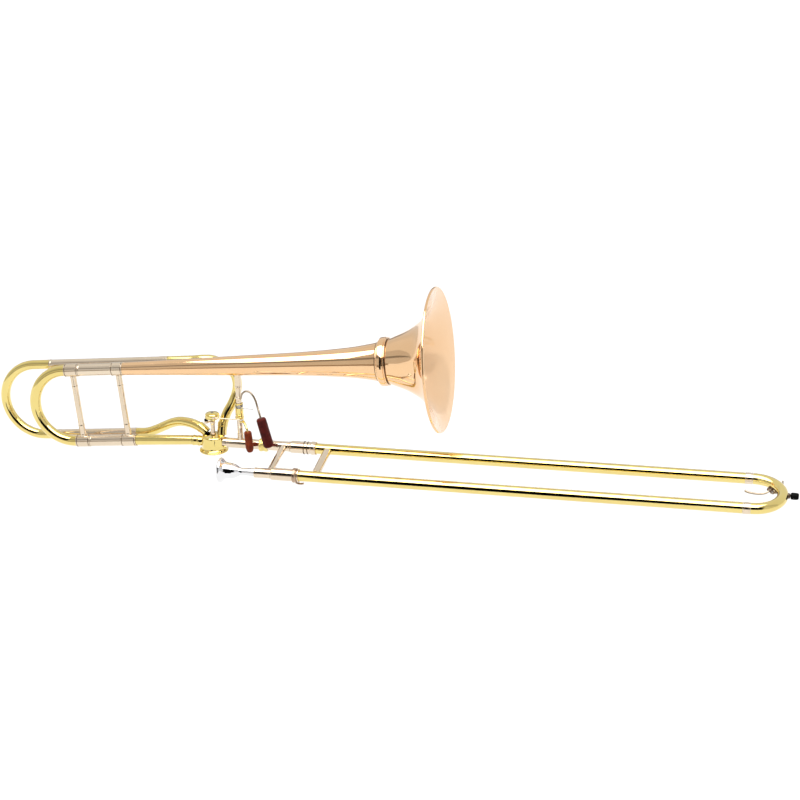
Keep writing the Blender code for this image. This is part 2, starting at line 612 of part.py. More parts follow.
def make_trigger_spring(finishes, post_axis):
    """A torsion spring round the trigger's neck, with a straight tail that ends in a ball."""
    radius, wire, turns, low, high = 0.0060, 0.0005, 3, 0.0646, 0.0688
    steps = turns * 12
    coil = []
    for i in range(steps + 1):
        angle = -math.pi / 2 - 2 * math.pi * turns * (1 - i / steps)
        coil.append((radius * math.cos(angle), radius * math.sin(angle), high + (low - high) * i / steps))
    tail = [(x, -radius, low) for x in (0.004, 0.009, 0.014, 0.019, 0.0235)]
    spring = swept("trigger_spring", [*coil, *tail], wire, 0, finishes["steel"], post_axis, 6)
    ball_x = 0.0235
    angles = (math.pi * k / 6 for k in range(7))
    ring = [(ball_x + 0.0009 * math.cos(a), 0.0009 * math.sin(a)) for a in angles]
    outline = [(x, 0.0 if i in (0, 6) else r) for i, (x, r) in enumerate(reversed(ring))]
    ball = turned("spring_ball", outline, finishes["steel"], post_axis, at=(0, -radius, low), sides=10)
    join(spring, ball)


def make_link_rod(finishes, link_axis):
    """The rod between the two pins, with an eye at each end.  Its frame sits on the trigger's pin."""
    span = VALVE_CENTRE.x - POST_CENTRE.x
    steel = finishes["nickel"]
    rod = round_bar("link_rod", (-0.0018, 0, 0), (span + 0.0018, 0, 0), 0.0012, steel, link_axis, 12)
    for side, x in (("post", 0.0), ("valve", span)):
        eye = round_bar(f"link_{side}_eye", (x, 0, -0.0014), (x, 0, 0.0014), 0.0027, steel, link_axis, 20)
        hole = round_bar(f"link_{side}_hole", (x, 0, -0.003), (x, 0, 0.003), LINK_PIN_RADIUS + GAP, steel,
                         link_axis, 16)
        join(rod, eye)
        cut(rod, hole)


def make_hand_rest(finishes):
    """A bent rod on the post that carries the leather-covered rest."""
    top, bottom = Vector((-0.0285, 0.0220, 0.0560)), Vector((-0.0174, 0.0220, 0.0110))
    direction = (bottom - top).normalized()
    rod = [
        (-0.0640, 0.0366, 0.0800), (-0.0622, 0.0343, 0.0835), (-0.0598, 0.0333, 0.0900),
        (-0.0545, 0.0330, 0.0945),
        (-0.0481, 0.0326, 0.0935), (-0.0430, 0.0320, 0.0890), (-0.0388, 0.0310, 0.0820),
        (-0.0352, 0.0285, 0.0725),
        (-0.0315, 0.0245, 0.0640), top, top + direction * 0.016, top + direction * 0.032,
    ]
    hand_rod = swept("hand_rest_rod", smooth_curve(rod, 0.005), 0.0015, 0, finishes["nickel"], None, 12)
    saddle(hand_rod, (POST_CENTRE.x, POST_CENTRE.y, 0.07), (POST_CENTRE.x, POST_CENTRE.y, 0.09),
           POST_RADIUS, None)
    length = (bottom - top).length
    pad = turned("hand_rest_pad", [
        (0, 0), (0, 0.0062), (0.0012, 0.0073), (0.0030, 0.0077), (length - 0.0032, 0.0079),
        (length - 0.0012, 0.0074), (length, 0.0062), (length, 0),
    ], finishes["red_leather"], None, at=top, along=direction, sides=18)
    pocket = [Vector(rod[7]), Vector(rod[8]), top, top + direction * 0.016, top + direction * 0.0324]
    cut(pad, swept("hand_rest_pocket", smooth_curve(pocket, 0.005), 0.0019, 0, finishes["nickel"], None, 12))


# ---------------------------------------------------------------- slide receiver and inner slide


def make_receiver(finishes, far_axis, nut_axis):
    """The valve's rear port, the slide receiver, the slide's tenon and its lock nut."""
    nickel, brass = finishes["nickel"], finishes["yellow_brass"]
    rear = turned("valve_rear_port", [
        (-0.1450, 0.0067), (-0.1450, PORT_RADIUS), (-0.1425, PORT_RADIUS), (-0.1420, 0.0077),
        (-0.1372, 0.0077),
        (-0.1367, PORT_RADIUS), (-0.1343, PORT_RADIUS), (-0.1338, 0.0074), (-0.1250, 0.0074),
        (-0.1250, 0.0067),
    ], brass, far_axis)
    front = turned("receiver", [
        (-0.0980, 0.0068), (-0.0980, PORT_RADIUS), (-0.0890, PORT_RADIUS), (-0.0885, NICKEL_TUBE_RADIUS),
        (-0.0300, NICKEL_TUBE_RADIUS), (-0.0300, 0.0071), (-0.0790, 0.0068),
    ], nickel, far_axis)
    foot = VALVE_CENTRE - 0.03 * Z_AXIS
    head = VALVE_CENTRE + 0.03 * Z_AXIS
    for target in (rear, front):
        saddle(target, foot, head, CASING_RADIUS, None)
    turned("slide_tenon", [
        (-0.0720, 0.0059), (-0.0720, 0.0063), (-0.0300, 0.0067), (-0.0297, NICKEL_TUBE_RADIUS),
        (FAR_BARREL_START - GAP, NICKEL_TUBE_RADIUS), (FAR_BARREL_START - GAP, 0.0064), (-0.0297, 0.0062),
    ], nickel, far_axis)
    turned("lock_nut", [
        (-0.0380, 0.0081), (-0.0380, 0.0097), (-0.0372, 0.0102), (-0.0340, 0.0102), (-0.0336, 0.0098),
        (-0.0294, 0.0098), (-0.0290, 0.0102), (-0.0258, 0.0102), (-0.0250, 0.0097), (-0.0250, 0.0081),
    ], brass, nut_axis, sides=20)


def make_inner_slide(finishes, far_axis, near_axis, ring_axis):
    """Inner tubes, leadpipe, cork barrels, the ring that locks the slide, and the inner brace."""
    nickel = finishes["nickel"]
    bore = OUTER_SLIDE_RADIUS + 0.0005
    inside = INNER_SLIDE_RADIUS - 0.0004
    seat = INNER_SLIDE_RADIUS + GAP
    for side, start, axis in (("far", FAR_BARREL_START, far_axis), ("near", NEAR_BARREL_START, near_axis)):
        tube(f"inner_tube_{side}", start, INNER_SLIDE_END, INNER_SLIDE_RADIUS, inside, nickel, axis)
    end = FAR_BARREL_START + 0.0403
    turned("cork_barrel_far", [
        (FAR_BARREL_START, seat), (FAR_BARREL_START, 0.0084), (FAR_BARREL_START + 0.001, BARREL_RADIUS),
        (end - 0.0080, BARREL_RADIUS), (end - 0.0075, 0.0102), (end - 0.0025, 0.0102), (end - 0.0015, 0.0098),
        (end - 0.0008, 0.0104), (end, 0.0104), (end, 0.0095), (end - 0.002, bore),
        (FAR_BARREL_START + 0.0140, bore),
        (FAR_BARREL_START + 0.0140, seat),
    ], nickel, far_axis, sides=20)
    end = NEAR_BARREL_START + 0.0428
    turned("cork_barrel_near", [
        (NEAR_BARREL_START, seat), (NEAR_BARREL_START, 0.0084), (NEAR_BARREL_START + 0.001, BARREL_RADIUS),
        (end - 0.0020, BARREL_RADIUS), (end - 0.0013, 0.0104), (end, 0.0104), (end, 0.0095),
        (end - 0.002, bore), (NEAR_BARREL_START + 0.0140, bore), (NEAR_BARREL_START + 0.0140, seat),
    ], nickel, near_axis, sides=20)
    ring_start = NEAR_BARREL_START + 0.0335
    lock_ring = turned("slide_lock_ring", [
        (ring_start, BARREL_RADIUS + GAP), (ring_start, 0.0106), (ring_start + 0.0008, 0.0110),
        (ring_start + 0.0055, 0.0110), (ring_start + 0.0063, 0.0106),
        (ring_start + 0.0063, BARREL_RADIUS + GAP),
    ], nickel, ring_axis, sides=20)
    lug_points = ((0.003, -0.0116), (0.008, -0.0126), (0.0125, -0.0128), (0.0160, -0.0118))
    lug = [(ring_start + x, 0, z) for x, z in lug_points]
    join(lock_ring, swept("lock_lug", smooth_curve(lug, 0.003), (0.0018, 0.0014), 0, nickel, ring_axis, 12))

    tube("leadpipe", NEAR_BARREL_START + GAP, 0.210, inside - 0.0002, inside - 0.0007,
         finishes["yellow_brass"],
         near_axis, sides=20)
    brace = round_bar("inner_brace", (0, FAR_Y - 0.004, FAR_Z - 0.0005), (0, -FAR_Y + 0.004, -FAR_Z + 0.0005),
                      INNER_BRACE_RADIUS, nickel, None)
    saddle(brace, (-0.01, 0, 0), (0.02, 0, 0), NICKEL_TUBE_RADIUS, far_axis)
    saddle(brace, (-0.01, 0, 0), (NEAR_BARREL_START - GAP, 0, 0), NICKEL_TUBE_RADIUS, near_axis)
    saddle(brace, (NEAR_BARREL_START - 2 * GAP, 0, 0), (0.03, 0, 0), BARREL_RADIUS, near_axis)


def make_mouthpiece(finishes, near_axis, mouthpiece_axis):
    """The mouthpiece and the receiver that it is pushed into."""
    turned("mouthpiece_receiver", [
        (-0.0215, 0.0066), (-0.0215, 0.0073), (-0.0208, NICKEL_TUBE_RADIUS),
        (NEAR_BARREL_START - GAP, NICKEL_TUBE_RADIUS), (NEAR_BARREL_START - GAP, 0.0064),
    ], finishes["nickel"], near_axis)
    rim = MOUTHPIECE_RIM_X
    turned("mouthpiece", [
        (rim, 0.0142), (rim, 0.0166), (rim + 0.0009, 0.0182), (rim + 0.0026, 0.0190), (rim + 0.0046, 0.0186),
        (rim + 0.0066, 0.0168), (rim + 0.0098, 0.0134), (rim + 0.0125, 0.0124), (rim + 0.0190, 0.0118),
        (rim + 0.0240, 0.0108), (rim + 0.0290, 0.0083), (rim + 0.0330, 0.0058), (rim + 0.0355, 0.0052),
        (rim + 0.0500, 0.0060), (rim + 0.0560, 0.0063), (MOUTHPIECE_END_X, 0.0058),
        (MOUTHPIECE_END_X, 0.0050),
        (rim + 0.0330, 0.0035), (rim + 0.0285, 0.0037), (rim + 0.0240, 0.0062), (rim + 0.0150, 0.0102),
        (rim + 0.0060, 0.0124), (rim + 0.0015, 0.0129), (rim + 0.0004, 0.0133),
    ], finishes["silver"], mouthpiece_axis, sides=20)


# ---------------------------------------------------------------- outer slide


def make_outer_slide(finishes, slide_axis):
    """Outer tubes, brace, ferrules and bow of the hand slide."""
    brass, nickel = finishes["yellow_brass"], finishes["nickel"]
    bore = OUTER_SLIDE_RADIUS - TUBE_WALL
    for side, sign in (("far", 1), ("near", -1)):
        axis = make_frame(f"outer_{side}_axis", (0, sign * FAR_Y, sign * FAR_Z), parent=slide_axis)
        tube(f"outer_tube_{side}", OUTER_SLIDE_START, BOW_FERRULE_START - GAP, OUTER_SLIDE_RADIUS, bore,
             brass, axis)
        tube(f"bow_ferrule_{side}", BOW_FERRULE_START, BOW_FERRULE_END, OUTER_SLIDE_RADIUS + TUBE_WALL, bore,
             nickel, axis)
    ends = [(OUTER_BRACE_X, s * (FAR_Y - 0.004), s * (FAR_Z - 0.0005)) for s in (1, -1)]
    brace = round_bar("outer_brace", *ends, OUTER_BRACE_RADIUS, nickel, slide_axis)
    for sign in (1, -1):
        y, z = sign * FAR_Y, sign * FAR_Z
        saddle(brace, (OUTER_BRACE_X - 0.02, y, z), (OUTER_BRACE_X + 0.02, y, z), OUTER_SLIDE_RADIUS,
               slide_axis)

    plane = make_frame("slide_bow_centre", (SLIDE_BOW_X, 0, 0), (SLIDE_ROLL, 0, 0), slide_axis)
    stub = BOW_FERRULE_END + GAP - SLIDE_BOW_X
    path = [(-x, z, 0) for x, _, z in bow_path(SLIDE_SPACING / 2, (-stub, -stub), BOW_STEPS)]
    swept("slide_bow", path, OUTER_SLIDE_RADIUS, bore, brass, plane)

    apex = SLIDE_SPACING / 2 + OUTER_SLIDE_RADIUS
    stud = turned("bumper_stud", [
        (apex - 0.0015, 0), (apex - 0.0015, 0.0040), (apex + 0.0022, 0.0036), (apex + 0.0026, 0.0016),
        (apex + 0.0100, 0.0016), (apex + 0.0100, 0),
    ], brass, plane, sides=16)
    cut(stud, swept("stud_seat", path, OUTER_SLIDE_RADIUS + GAP, 0, brass, plane))
    turned("slide_bumper", [
        (apex + 0.0030, 0.0019), (apex + 0.0030, 0.0042), (apex + 0.0036, 0.0050), (apex + 0.0125, 0.0050),
        (apex + 0.0140, 0.0040), (apex + 0.0143, 0.0030), (apex + 0.0143, 0), (apex + 0.0103, 0),
        (apex + 0.0103, 0.0019),
    ], finishes["black_rubber"], plane, sides=20)
    return plane


def on_key_plane(radial, height):
    """A point in the bow's frame, on the upright plane that holds the water key."""
    return Vector((radial * math.cos(KEY_ANGLE), radial * math.sin(KEY_ANGLE), height))


def make_water_key(finishes, bow_plane, key_plane):
    """The water key inside the slide bow: saddle and pin, and a lever with its cork under the bow."""
    nickel = finishes["nickel"]
    pivot = on_key_plane(*KEY_PIVOT)
    along_pin = Vector((-math.sin(KEY_ANGLE), math.cos(KEY_ANGLE), 0))
    bow_radius = SLIDE_SPACING / 2

    saddle_piece = round_bar("water_key_saddle", pivot - along_pin * 0.0045, pivot + along_pin * 0.0045,
                             0.0024, nickel, bow_plane, 16)
    join(saddle_piece, round_bar("key_foot", pivot, on_key_plane(bow_radius - 0.004, -0.001), 0.0026, nickel,
                                 bow_plane, 16))
    cut(saddle_piece, round_bar("key_slot", pivot - along_pin * 0.0021, pivot + along_pin * 0.0021, 0.0032,
                                nickel, bow_plane, 20))
    path = [(bow_radius * math.cos(a), bow_radius * math.sin(a), 0) for a in
            (KEY_ANGLE + math.radians(9 * i - 27) for i in range(7))]
    cut(saddle_piece, swept("key_bow_seat", path, OUTER_SLIDE_RADIUS + GAP, 0, nickel, bow_plane))
    hole = (pivot - along_pin * 0.01, pivot + along_pin * 0.01, 0.0008 + GAP, nickel)
    cut(saddle_piece, round_bar("key_saddle_hole", *hole, bow_plane, 12))
    round_bar("water_key_pin", pivot - along_pin * 0.0050, pivot + along_pin * 0.0050, 0.0008,
              finishes["steel"], bow_plane, 12)

    key = round_bar("water_key", pivot - along_pin * 0.0017, pivot + along_pin * 0.0017, 0.0023, nickel,
                    key_plane, 16)
    finger = [(-0.0103, 0.0178, -0.0070), (-0.0030, 0.0158, -0.0086), (0.0070, 0.0154, -0.0088),
              (0.0160, 0.0170, -0.0078), pivot]
    arm = [pivot] + [on_key_plane(*p) for p in KEY_ARM]
    join(key, swept("key_finger", smooth_curve(finger, 0.006), (0.0018, 0.0012), 0, nickel, key_plane, 12))
    join(key, swept("key_arm", smooth_curve(arm, 0.005), (0.0013, 0.0011), 0, nickel, key_plane, 12))
    cup = (on_key_plane(bow_radius, -0.0128), on_key_plane(bow_radius, -0.0104))
    join(key, round_bar("key_cup", *cup, 0.0037, nickel, key_plane, 20))
    cut(key, round_bar("key_hole", *hole, key_plane, 12))
    round_bar("water_key_cork", on_key_plane(bow_radius, -0.0101), on_key_plane(bow_radius, -0.0085), 0.0031,
              finishes["cork"], key_plane, 20)


# ---------------------------------------------------------------- the whole instrument


def main():
    """Clear the scene and build every sub-part."""
    for leftover in list(bpy.data.objects):
        bpy.data.objects.remove(leftover, do_unlink=True)
    finishes = make_finishes()

    bell_axis = make_frame("bell_axis", BELL_RIM_CENTRE, (0, -BELL_TILT, 0))
    main_slide_axis = make_frame("main_slide_axis", BELL_RIM_CENTRE, (0, -BELL_TILT, 0))
    f_slide_axis = make_frame("f_slide_axis", BELL_RIM_CENTRE, (0, -BELL_TILT, 0))
    far_axis = make_frame("far_axis", (0, FAR_Y, FAR_Z))
    near_axis = make_frame("near_axis", (0, -FAR_Y, -FAR_Z))
    nut_axis = make_frame("nut_axis", (0, FAR_Y, FAR_Z))
    ring_axis = make_frame("ring_axis", (0, -FAR_Y, -FAR_Z))
    mouthpiece_axis = make_frame("mouthpiece_axis", (0, -FAR_Y, -FAR_Z))
    valve_axis = make_frame("valve_axis", VALVE_CENTRE)
    rotor_axis = make_frame("rotor_axis", VALVE_CENTRE)
    post_axis = make_frame("post_axis", POST_CENTRE)
    trigger_axis = make_frame("trigger_axis", POST_CENTRE)
    link_axis = make_frame("link_axis", POST_CENTRE + link_pin(0) + Vector((0, 0, LINK_Z + 0.0003)))
    hand_slide_axis = make_frame("hand_slide_axis", (0, 0, 0))
    bpy.context.view_layer.update()

    make_bell(finishes, bell_axis)
    lower_axis = make_main_legs(finishes, bell_axis, main_slide_axis)
    make_brace("bell_brace", sum(STEM_FERRULE) / 2, STEM_FERRULE_RADIUS, NECKPIPE_FERRULE_RADIUS,
               finishes["nickel"],
               bell_axis, bell_axis)
    make_main_slide(finishes, main_slide_axis)
    make_f_slide(finishes, bell_axis, f_slide_axis)
    bpy.context.view_layer.update()
    make_f_tubes(finishes, bell_axis)
    make_neckpipe(finishes, lower_axis)
    make_valve(finishes, valve_axis, rotor_axis)
    make_post(finishes, bell_axis)
    make_trigger(finishes, trigger_axis)
    make_trigger_spring(finishes, post_axis)
    make_link_rod(finishes, link_axis)
    make_hand_rest(finishes)
    make_receiver(finishes, far_axis, nut_axis)
    make_inner_slide(finishes, far_axis, near_axis, ring_axis)
    make_mouthpiece(finishes, near_axis, mouthpiece_axis)
    bow_plane = make_outer_slide(finishes, hand_slide_axis)
    key_plane = make_frame("key_plane", (SLIDE_BOW_X, 0, 0), (SLIDE_ROLL, 0, 0))
    make_water_key(finishes, bow_plane, key_plane)


main()
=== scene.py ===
"""Looks of a tenor trombone with an F attachment, built round its CAD frame.

Units are metres.  +X runs along the hand slide, +Z is up in the plane of the bell, and a lathe's outline or
a tube's path is given in the frame of the axis that it belongs to.
"""

import json
import math

import bmesh
import bpy
from mathutils import Matrix, Quaternion, Vector, noise


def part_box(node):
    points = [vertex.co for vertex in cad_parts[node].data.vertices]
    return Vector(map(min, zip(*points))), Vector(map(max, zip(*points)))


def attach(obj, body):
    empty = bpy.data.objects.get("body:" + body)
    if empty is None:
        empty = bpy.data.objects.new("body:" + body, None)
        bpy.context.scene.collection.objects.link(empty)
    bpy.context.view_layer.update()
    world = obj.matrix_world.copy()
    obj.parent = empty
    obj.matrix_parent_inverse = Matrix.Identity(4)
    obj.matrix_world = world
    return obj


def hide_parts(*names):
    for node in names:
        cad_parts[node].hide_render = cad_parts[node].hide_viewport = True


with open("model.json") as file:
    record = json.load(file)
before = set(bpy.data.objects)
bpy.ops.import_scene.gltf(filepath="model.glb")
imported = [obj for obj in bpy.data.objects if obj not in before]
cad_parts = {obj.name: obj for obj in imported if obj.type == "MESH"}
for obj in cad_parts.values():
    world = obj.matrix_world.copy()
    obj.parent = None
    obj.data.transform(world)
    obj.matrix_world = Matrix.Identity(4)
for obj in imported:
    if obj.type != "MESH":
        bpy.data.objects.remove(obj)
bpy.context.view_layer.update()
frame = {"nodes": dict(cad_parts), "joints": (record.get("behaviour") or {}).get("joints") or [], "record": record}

# ---------------------------------------------------------------- frames, read from the CAD

JOINTS = {joint["name"]: joint for joint in frame["joints"]}
X, Z = Vector((1, 0, 0)), Vector((0, 0, 1))


def middle(node):
    """Centre of a node's box."""
    low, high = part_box(node)
    return (low + high) / 2


def frame_of(origin, forward, up=Z):
    """A matrix whose X axis points forward and whose Z axis leans to the given up."""
    forward = Vector(forward).normalized()
    side = Vector(up).cross(forward).normalized()
    basis = Matrix((forward, side, forward.cross(side))).transposed().to_4x4()
    return Matrix.Translation(origin) @ basis


FERRULE_TO_RIM = 0.5065            # along the bell, from the stem ferrule's middle to the rim
LEG_SPACING = 0.117
GAP = 0.0003                       # between a ferrule and the tube that meets it
TUNING_AXIS = Vector(JOINTS["main_tuning_slide"]["axis"])
BELL = frame_of(middle("stem_ferrule") - TUNING_AXIS * FERRULE_TO_RIM, -TUNING_AXIS)
LOWER_LEG = BELL @ Matrix.Translation((0, 0, -LEG_SPACING))
F_UPPER = BELL @ Matrix.Translation((0, middle("f_sleeve_upper").y - middle("stem_ferrule").y, 0))
F_LOWER = F_UPPER @ Matrix.Translation((0, 0, -LEG_SPACING))
FAR_LINE = middle("outer_tube_far") * Vector((0, 1, 1))
NEAR_LINE = middle("outer_tube_near") * Vector((0, 1, 1))
FAR = frame_of(FAR_LINE, X)
NEAR = frame_of(NEAR_LINE, X)
ROLL = math.atan2(FAR_LINE.z - NEAR_LINE.z, FAR_LINE.y - NEAR_LINE.y)
SLIDE_SPACING = (FAR_LINE - NEAR_LINE).length
BOW_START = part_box("bow_ferrule_far")[1].x
SLIDE_BOW = Matrix.Translation((BOW_START + 0.0013, 0, 0)) @ Matrix.Rotation(ROLL, 4, "X")
VALVE_POINT = Vector(JOINTS["rotor_turn"]["pos_m"])
VALVE = Matrix.Translation(VALVE_POINT)
POST_POINT = Vector(JOINTS["trigger_turn"]["pos_m"]) * Vector((1, 1, 0))
POST = Matrix.Translation(POST_POINT)
WORLD = Matrix.Identity(4)
UPRIGHT = Matrix.Rotation(-math.pi / 2, 4, "Y")          # turns a lathe's X axis to +Z

# ---------------------------------------------------------------- mesh helpers


def eased(outline, radius):
    """The outline with its sharp corners rounded by at most the given radius."""
    points = [Vector(p) for p in outline]
    result = []
    for i, point in enumerate(points):
        if i in (0, len(points) - 1) or point.y == 0:
            result.append(point)
            continue
        back, ahead = points[i - 1] - point, points[i + 1] - point
        if back.length < 1e-7 or ahead.length < 1e-7 or back.angle(-ahead) < math.radians(14):
            result.append(point)
            continue
        reach = min(radius, 0.45 * back.length, 0.45 * ahead.length)
        start, end = point + back.normalized() * reach, point + ahead.normalized() * reach
        for step in range(5):
            t = step / 4
            result.append(start * (1 - t) ** 2 + point * 2 * t * (1 - t) + end * t**2)
    return result


def skin(shape, first, second):
    """Faces between two rings; a ring of one vertex is a point."""
    count = max(len(first), len(second))
    for i in range(count):
        j = (i + 1) % count
        corners = [first[i % len(first)], first[j % len(first)]]
        corners += [second[j % len(second)], second[i % len(second)]]
        face = list(dict.fromkeys(corners))
        if len(face) > 2:
            shape.faces.new(face)


def add_lathe(shape, outline, at=WORLD, sides=64, ease=0.0004, wobble=None):
    """Spin (distance, radius) points about the frame's X axis; wobble adds a share at (distance, angle)."""
    rings = []
    for reach, radius in eased(outline, ease) if ease else outline:
        if radius == 0:
            rings.append([shape.verts.new(at @ Vector((reach, 0, 0)))])
            continue
        ring = []
        for i in range(sides):
            angle = 2 * math.pi * i / sides
            r = radius * (1 + wobble(reach, angle)) if wobble else radius
            ring.append(shape.verts.new(at @ Vector((reach, r * math.cos(angle), r * math.sin(angle)))))
        rings.append(ring)
    for first, second in zip(rings, rings[1:]):
        skin(shape, first, second)
    if outline[0][1] and outline[-1][1]:
        skin(shape, rings[-1], rings[0])


def add_tube(shape, path, outer, inner=0.0, at=WORLD, sides=40):
    """Sweep a ring along a path; each radius is a number or a function of the share of the way along."""
    points = [at @ Vector(p) for p in path]
    last = len(points) - 1
    tangents = [(points[min(i + 1, last)] - points[max(i - 1, 0)]).normalized() for i in range(last + 1)]
    across = tangents[0].orthogonal().normalized()
    outside, inside = [], []
    for i, (point, tangent) in enumerate(zip(points, tangents)):
        if i:
            across = tangents[i - 1].rotation_difference(tangent) @ across
        for rings, radius in ((outside, outer), (inside, inner)):
            r = radius(i / last) if callable(radius) else radius
            if r:
                turns = [Quaternion(tangent, 2 * math.pi * k / sides) @ across for k in range(sides)]
                rings.append([shape.verts.new(point + r * t) for t in turns])
    for rings in (outside, inside):
        for first, second in zip(rings, rings[1:]):
            skin(shape, first, second)
    for end in (0, -1):
        if inside:
            skin(shape, outside[end], inside[end])
        else:
            hub = [shape.verts.new(points[end])]
            skin(shape, outside[end], hub)


def smooth_curve(points, spacing=0.003):
    """A cubic curve through the points."""
    points = [Vector(p) for p in points]
    knots = [0.0]
    for a, b in zip(points, points[1:]):
        knots.append(knots[-1] + (b - a).length)
    last = len(points) - 1
    slopes = []
    for i in range(last + 1):
        low, high = max(i - 1, 0), min(i + 1, last)
        slopes.append((points[high] - points[low]) / (knots[high] - knots[low]))
    curve = [points[0]]
    for i in range(last):
        span = knots[i + 1] - knots[i]
        steps = max(1, round(span / spacing))
        for step in range(1, steps + 1):
            t = step / steps
            curve.append(
                points[i] * (2 * t**3 - 3 * t**2 + 1) + slopes[i] * span * (t**3 - 2 * t**2 + t)
                + points[i + 1] * (3 * t**2 - 2 * t**3) + slopes[i + 1] * span * (t**3 - t**2)
            )
    return curve


def along(start, end, at=WORLD):
    """A frame whose X axis runs from one point to another, and the distance between them."""
    start, end = at @ Vector(start), at @ Vector(end)
    step = end - start
    up = Z if abs(step.normalized().z) < 0.9 else X
    return frame_of(start, step, up), step.length


def add_bar(shape, start, end, radius, at=WORLD, ease=0.0003, sides=32):
    """A round bar with eased ends between two points."""
    place, length = along(start, end, at)
    add_lathe(shape, [(0, 0), (0, radius), (length, radius), (length, 0)], place, sides, ease)


def add_ball(shape, centre, radius, at=WORLD, sides=24):
    """A ball, as a lathe of half a circle."""
    outline = [(-radius * math.cos(math.pi * k / 12), radius * math.sin(math.pi * k / 12)) for k in range(13)]
    outline[0], outline[-1] = (-radius, 0), (radius, 0)
    add_lathe(shape, outline, at @ Matrix.Translation(centre), sides, 0)


def half_circle(radius, ends, steps=72):
    """A bow's path in the XZ plane, opening to +X, with straight ends of the given lengths."""
    top, bottom = ends
    arc = [math.pi / 2 + math.pi * i / steps for i in range(steps + 1)]
    path = [Vector((top * (1 - i / 4), 0, radius)) for i in range(4)]
    path += [Vector((radius * math.cos(a), 0, radius * math.sin(a))) for a in arc]
    return path + [Vector((bottom * (i + 1) / 4, 0, -radius)) for i in range(4)]


def piece(name, shape, finish, body, *nodes, slot=None, sharp=38):
    """Turn a shape into a piece that rides on a body and stands for the given CAD nodes.

    The slot argument is not used.
    """
    bmesh.ops.recalc_face_normals(shape, faces=shape.faces)
    mesh = bpy.data.meshes.new(name)
    shape.to_mesh(mesh)
    shape.free()
    mesh.shade_smooth()
    mesh.set_sharp_from_angle(angle=math.radians(sharp))
    mesh.materials.append(FINISH[finish])
    made = bpy.data.objects.new(name, mesh)
    bpy.context.scene.collection.objects.link(made)
    weighted = made.modifiers.new("weighted", "WEIGHTED_NORMAL")
    weighted.keep_sharp = True
    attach(made, body)
    if nodes:
        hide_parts(*nodes)
    return made


def shifted(start, *outline):
    """An outline whose distances count from start."""
    return [(start + reach, radius) for reach, radius in outline]


def turned(name, outline, at, sides, ease, *row, wobble=None, **options):
    """A piece that is one lathe shape; its finish, body and nodes are as for piece."""
    shape = bmesh.new()
    add_lathe(shape, outline, at, sides, ease, wobble)
    return piece(name, shape, *row, **options)


# ---------------------------------------------------------------- materials


class Graph:
    """A material's node tree, with short calls for the nodes that the finishes share."""

    def __init__(self, name):
        self.material = bpy.data.materials.new(name)
        self.material.use_nodes = True
        self.tree = self.material.node_tree
        self.shader = self.tree.nodes["Principled BSDF"]

    def node(self, kind, settings=None, **inputs):
        """Add a node; a tuple of (node, output name) is linked, and any other value is set."""
        made = self.tree.nodes.new(kind)
        for key, value in (settings or {}).items():
            setattr(made, key, value)
        for key, value in inputs.items():
            self.feed(made.inputs[key.replace("_", " ")], value)
        return made

    def feed(self, socket, value):
        """Link or set one input."""
        if isinstance(value, tuple) and value and isinstance(value[0], bpy.types.Node):
            self.tree.links.new(value[0].outputs[value[1]], socket)
        else:
            socket.default_value = value

    def place(self, scale):
        """Object coordinates, scaled along each axis."""
        where = self.node("ShaderNodeTexCoord")
        mapping = self.node("ShaderNodeMapping", Vector=(where, "Object"))
        mapping.inputs["Scale"].default_value = scale
        return mapping, "Vector"

    def noise(self, scale, detail=3.0, roughness=0.5, stretch=(1, 1, 1)):
        """Noise of the given scale in features per metre."""
        made = self.node("ShaderNodeTexNoise", Vector=self.place(stretch), Scale=scale, Detail=detail,
                         Roughness=roughness)
        return made, "Fac"

    def remap(self, value, low, high, to_low, to_high):
        """Map one range to another, smoothly and clamped."""
        made = self.node("ShaderNodeMapRange", {"interpolation_type": "SMOOTHSTEP"}, Value=value)
        for key, number in (("From Min", low), ("From Max", high), ("To Min", to_low), ("To Max", to_high)):
            made.inputs[key].default_value = number
        return made, "Result"

    def blend(self, share, first, second):
        """Mix two colours."""
        made = self.node("ShaderNodeMix", {"data_type": "RGBA"})
        self.feed(made.inputs[0], share)
        for index, value in ((6, first), (7, second)):
            self.feed(made.inputs[index], value if isinstance(value[0], bpy.types.Node) else (*value, 1.0))
        return made, 2

    def bump(self, height, strength, distance, under=None):
        """A bump layer, over another where one is given."""
        made = self.node("ShaderNodeBump", Height=height, Strength=strength, Distance=distance)
        if under:
            self.feed(made.inputs["Normal"], under)
        return made, "Normal"


def metal(name, colour, tarnish_and_shade, roughness, coat=0.0, metallic=1.0, grain=(1, 1, 1), grain_depth=0.00001):
    """Polished metal: slow colour drift, tarnish in crevices, handled patches and a fine drawn grain."""
    g = Graph(name)
    drift = g.remap(g.noise(14, 2.0), 0.35, 0.7, 0.0, 0.35)
    shade = g.blend(drift, colour, tarnish_and_shade)
    crevice = g.remap((g.node("ShaderNodeNewGeometry"), "Pointiness"), 0.4, 0.495, 0.75, 0.0)
    g.feed(g.shader.inputs["Base Color"], g.blend(crevice, shade, tuple(c * 0.45 for c in tarnish_and_shade)))
    handled = g.remap(g.noise(38, 6.0, 0.62), 0.48, 0.72, roughness, roughness + 0.07)
    g.feed(g.shader.inputs["Roughness"], handled)
    drawn = g.bump(g.noise(900, 3.0, 0.6, grain), 0.35, grain_depth)
    waves = g.bump(g.noise(55, 2.0), 0.25, 0.00006, drawn)
    g.feed(g.shader.inputs["Normal"], waves)
    g.shader.inputs["Metallic"].default_value = metallic
    g.shader.inputs["Coat Weight"].default_value = coat
    g.shader.inputs["Coat Roughness"].default_value = 0.04
    return g.material


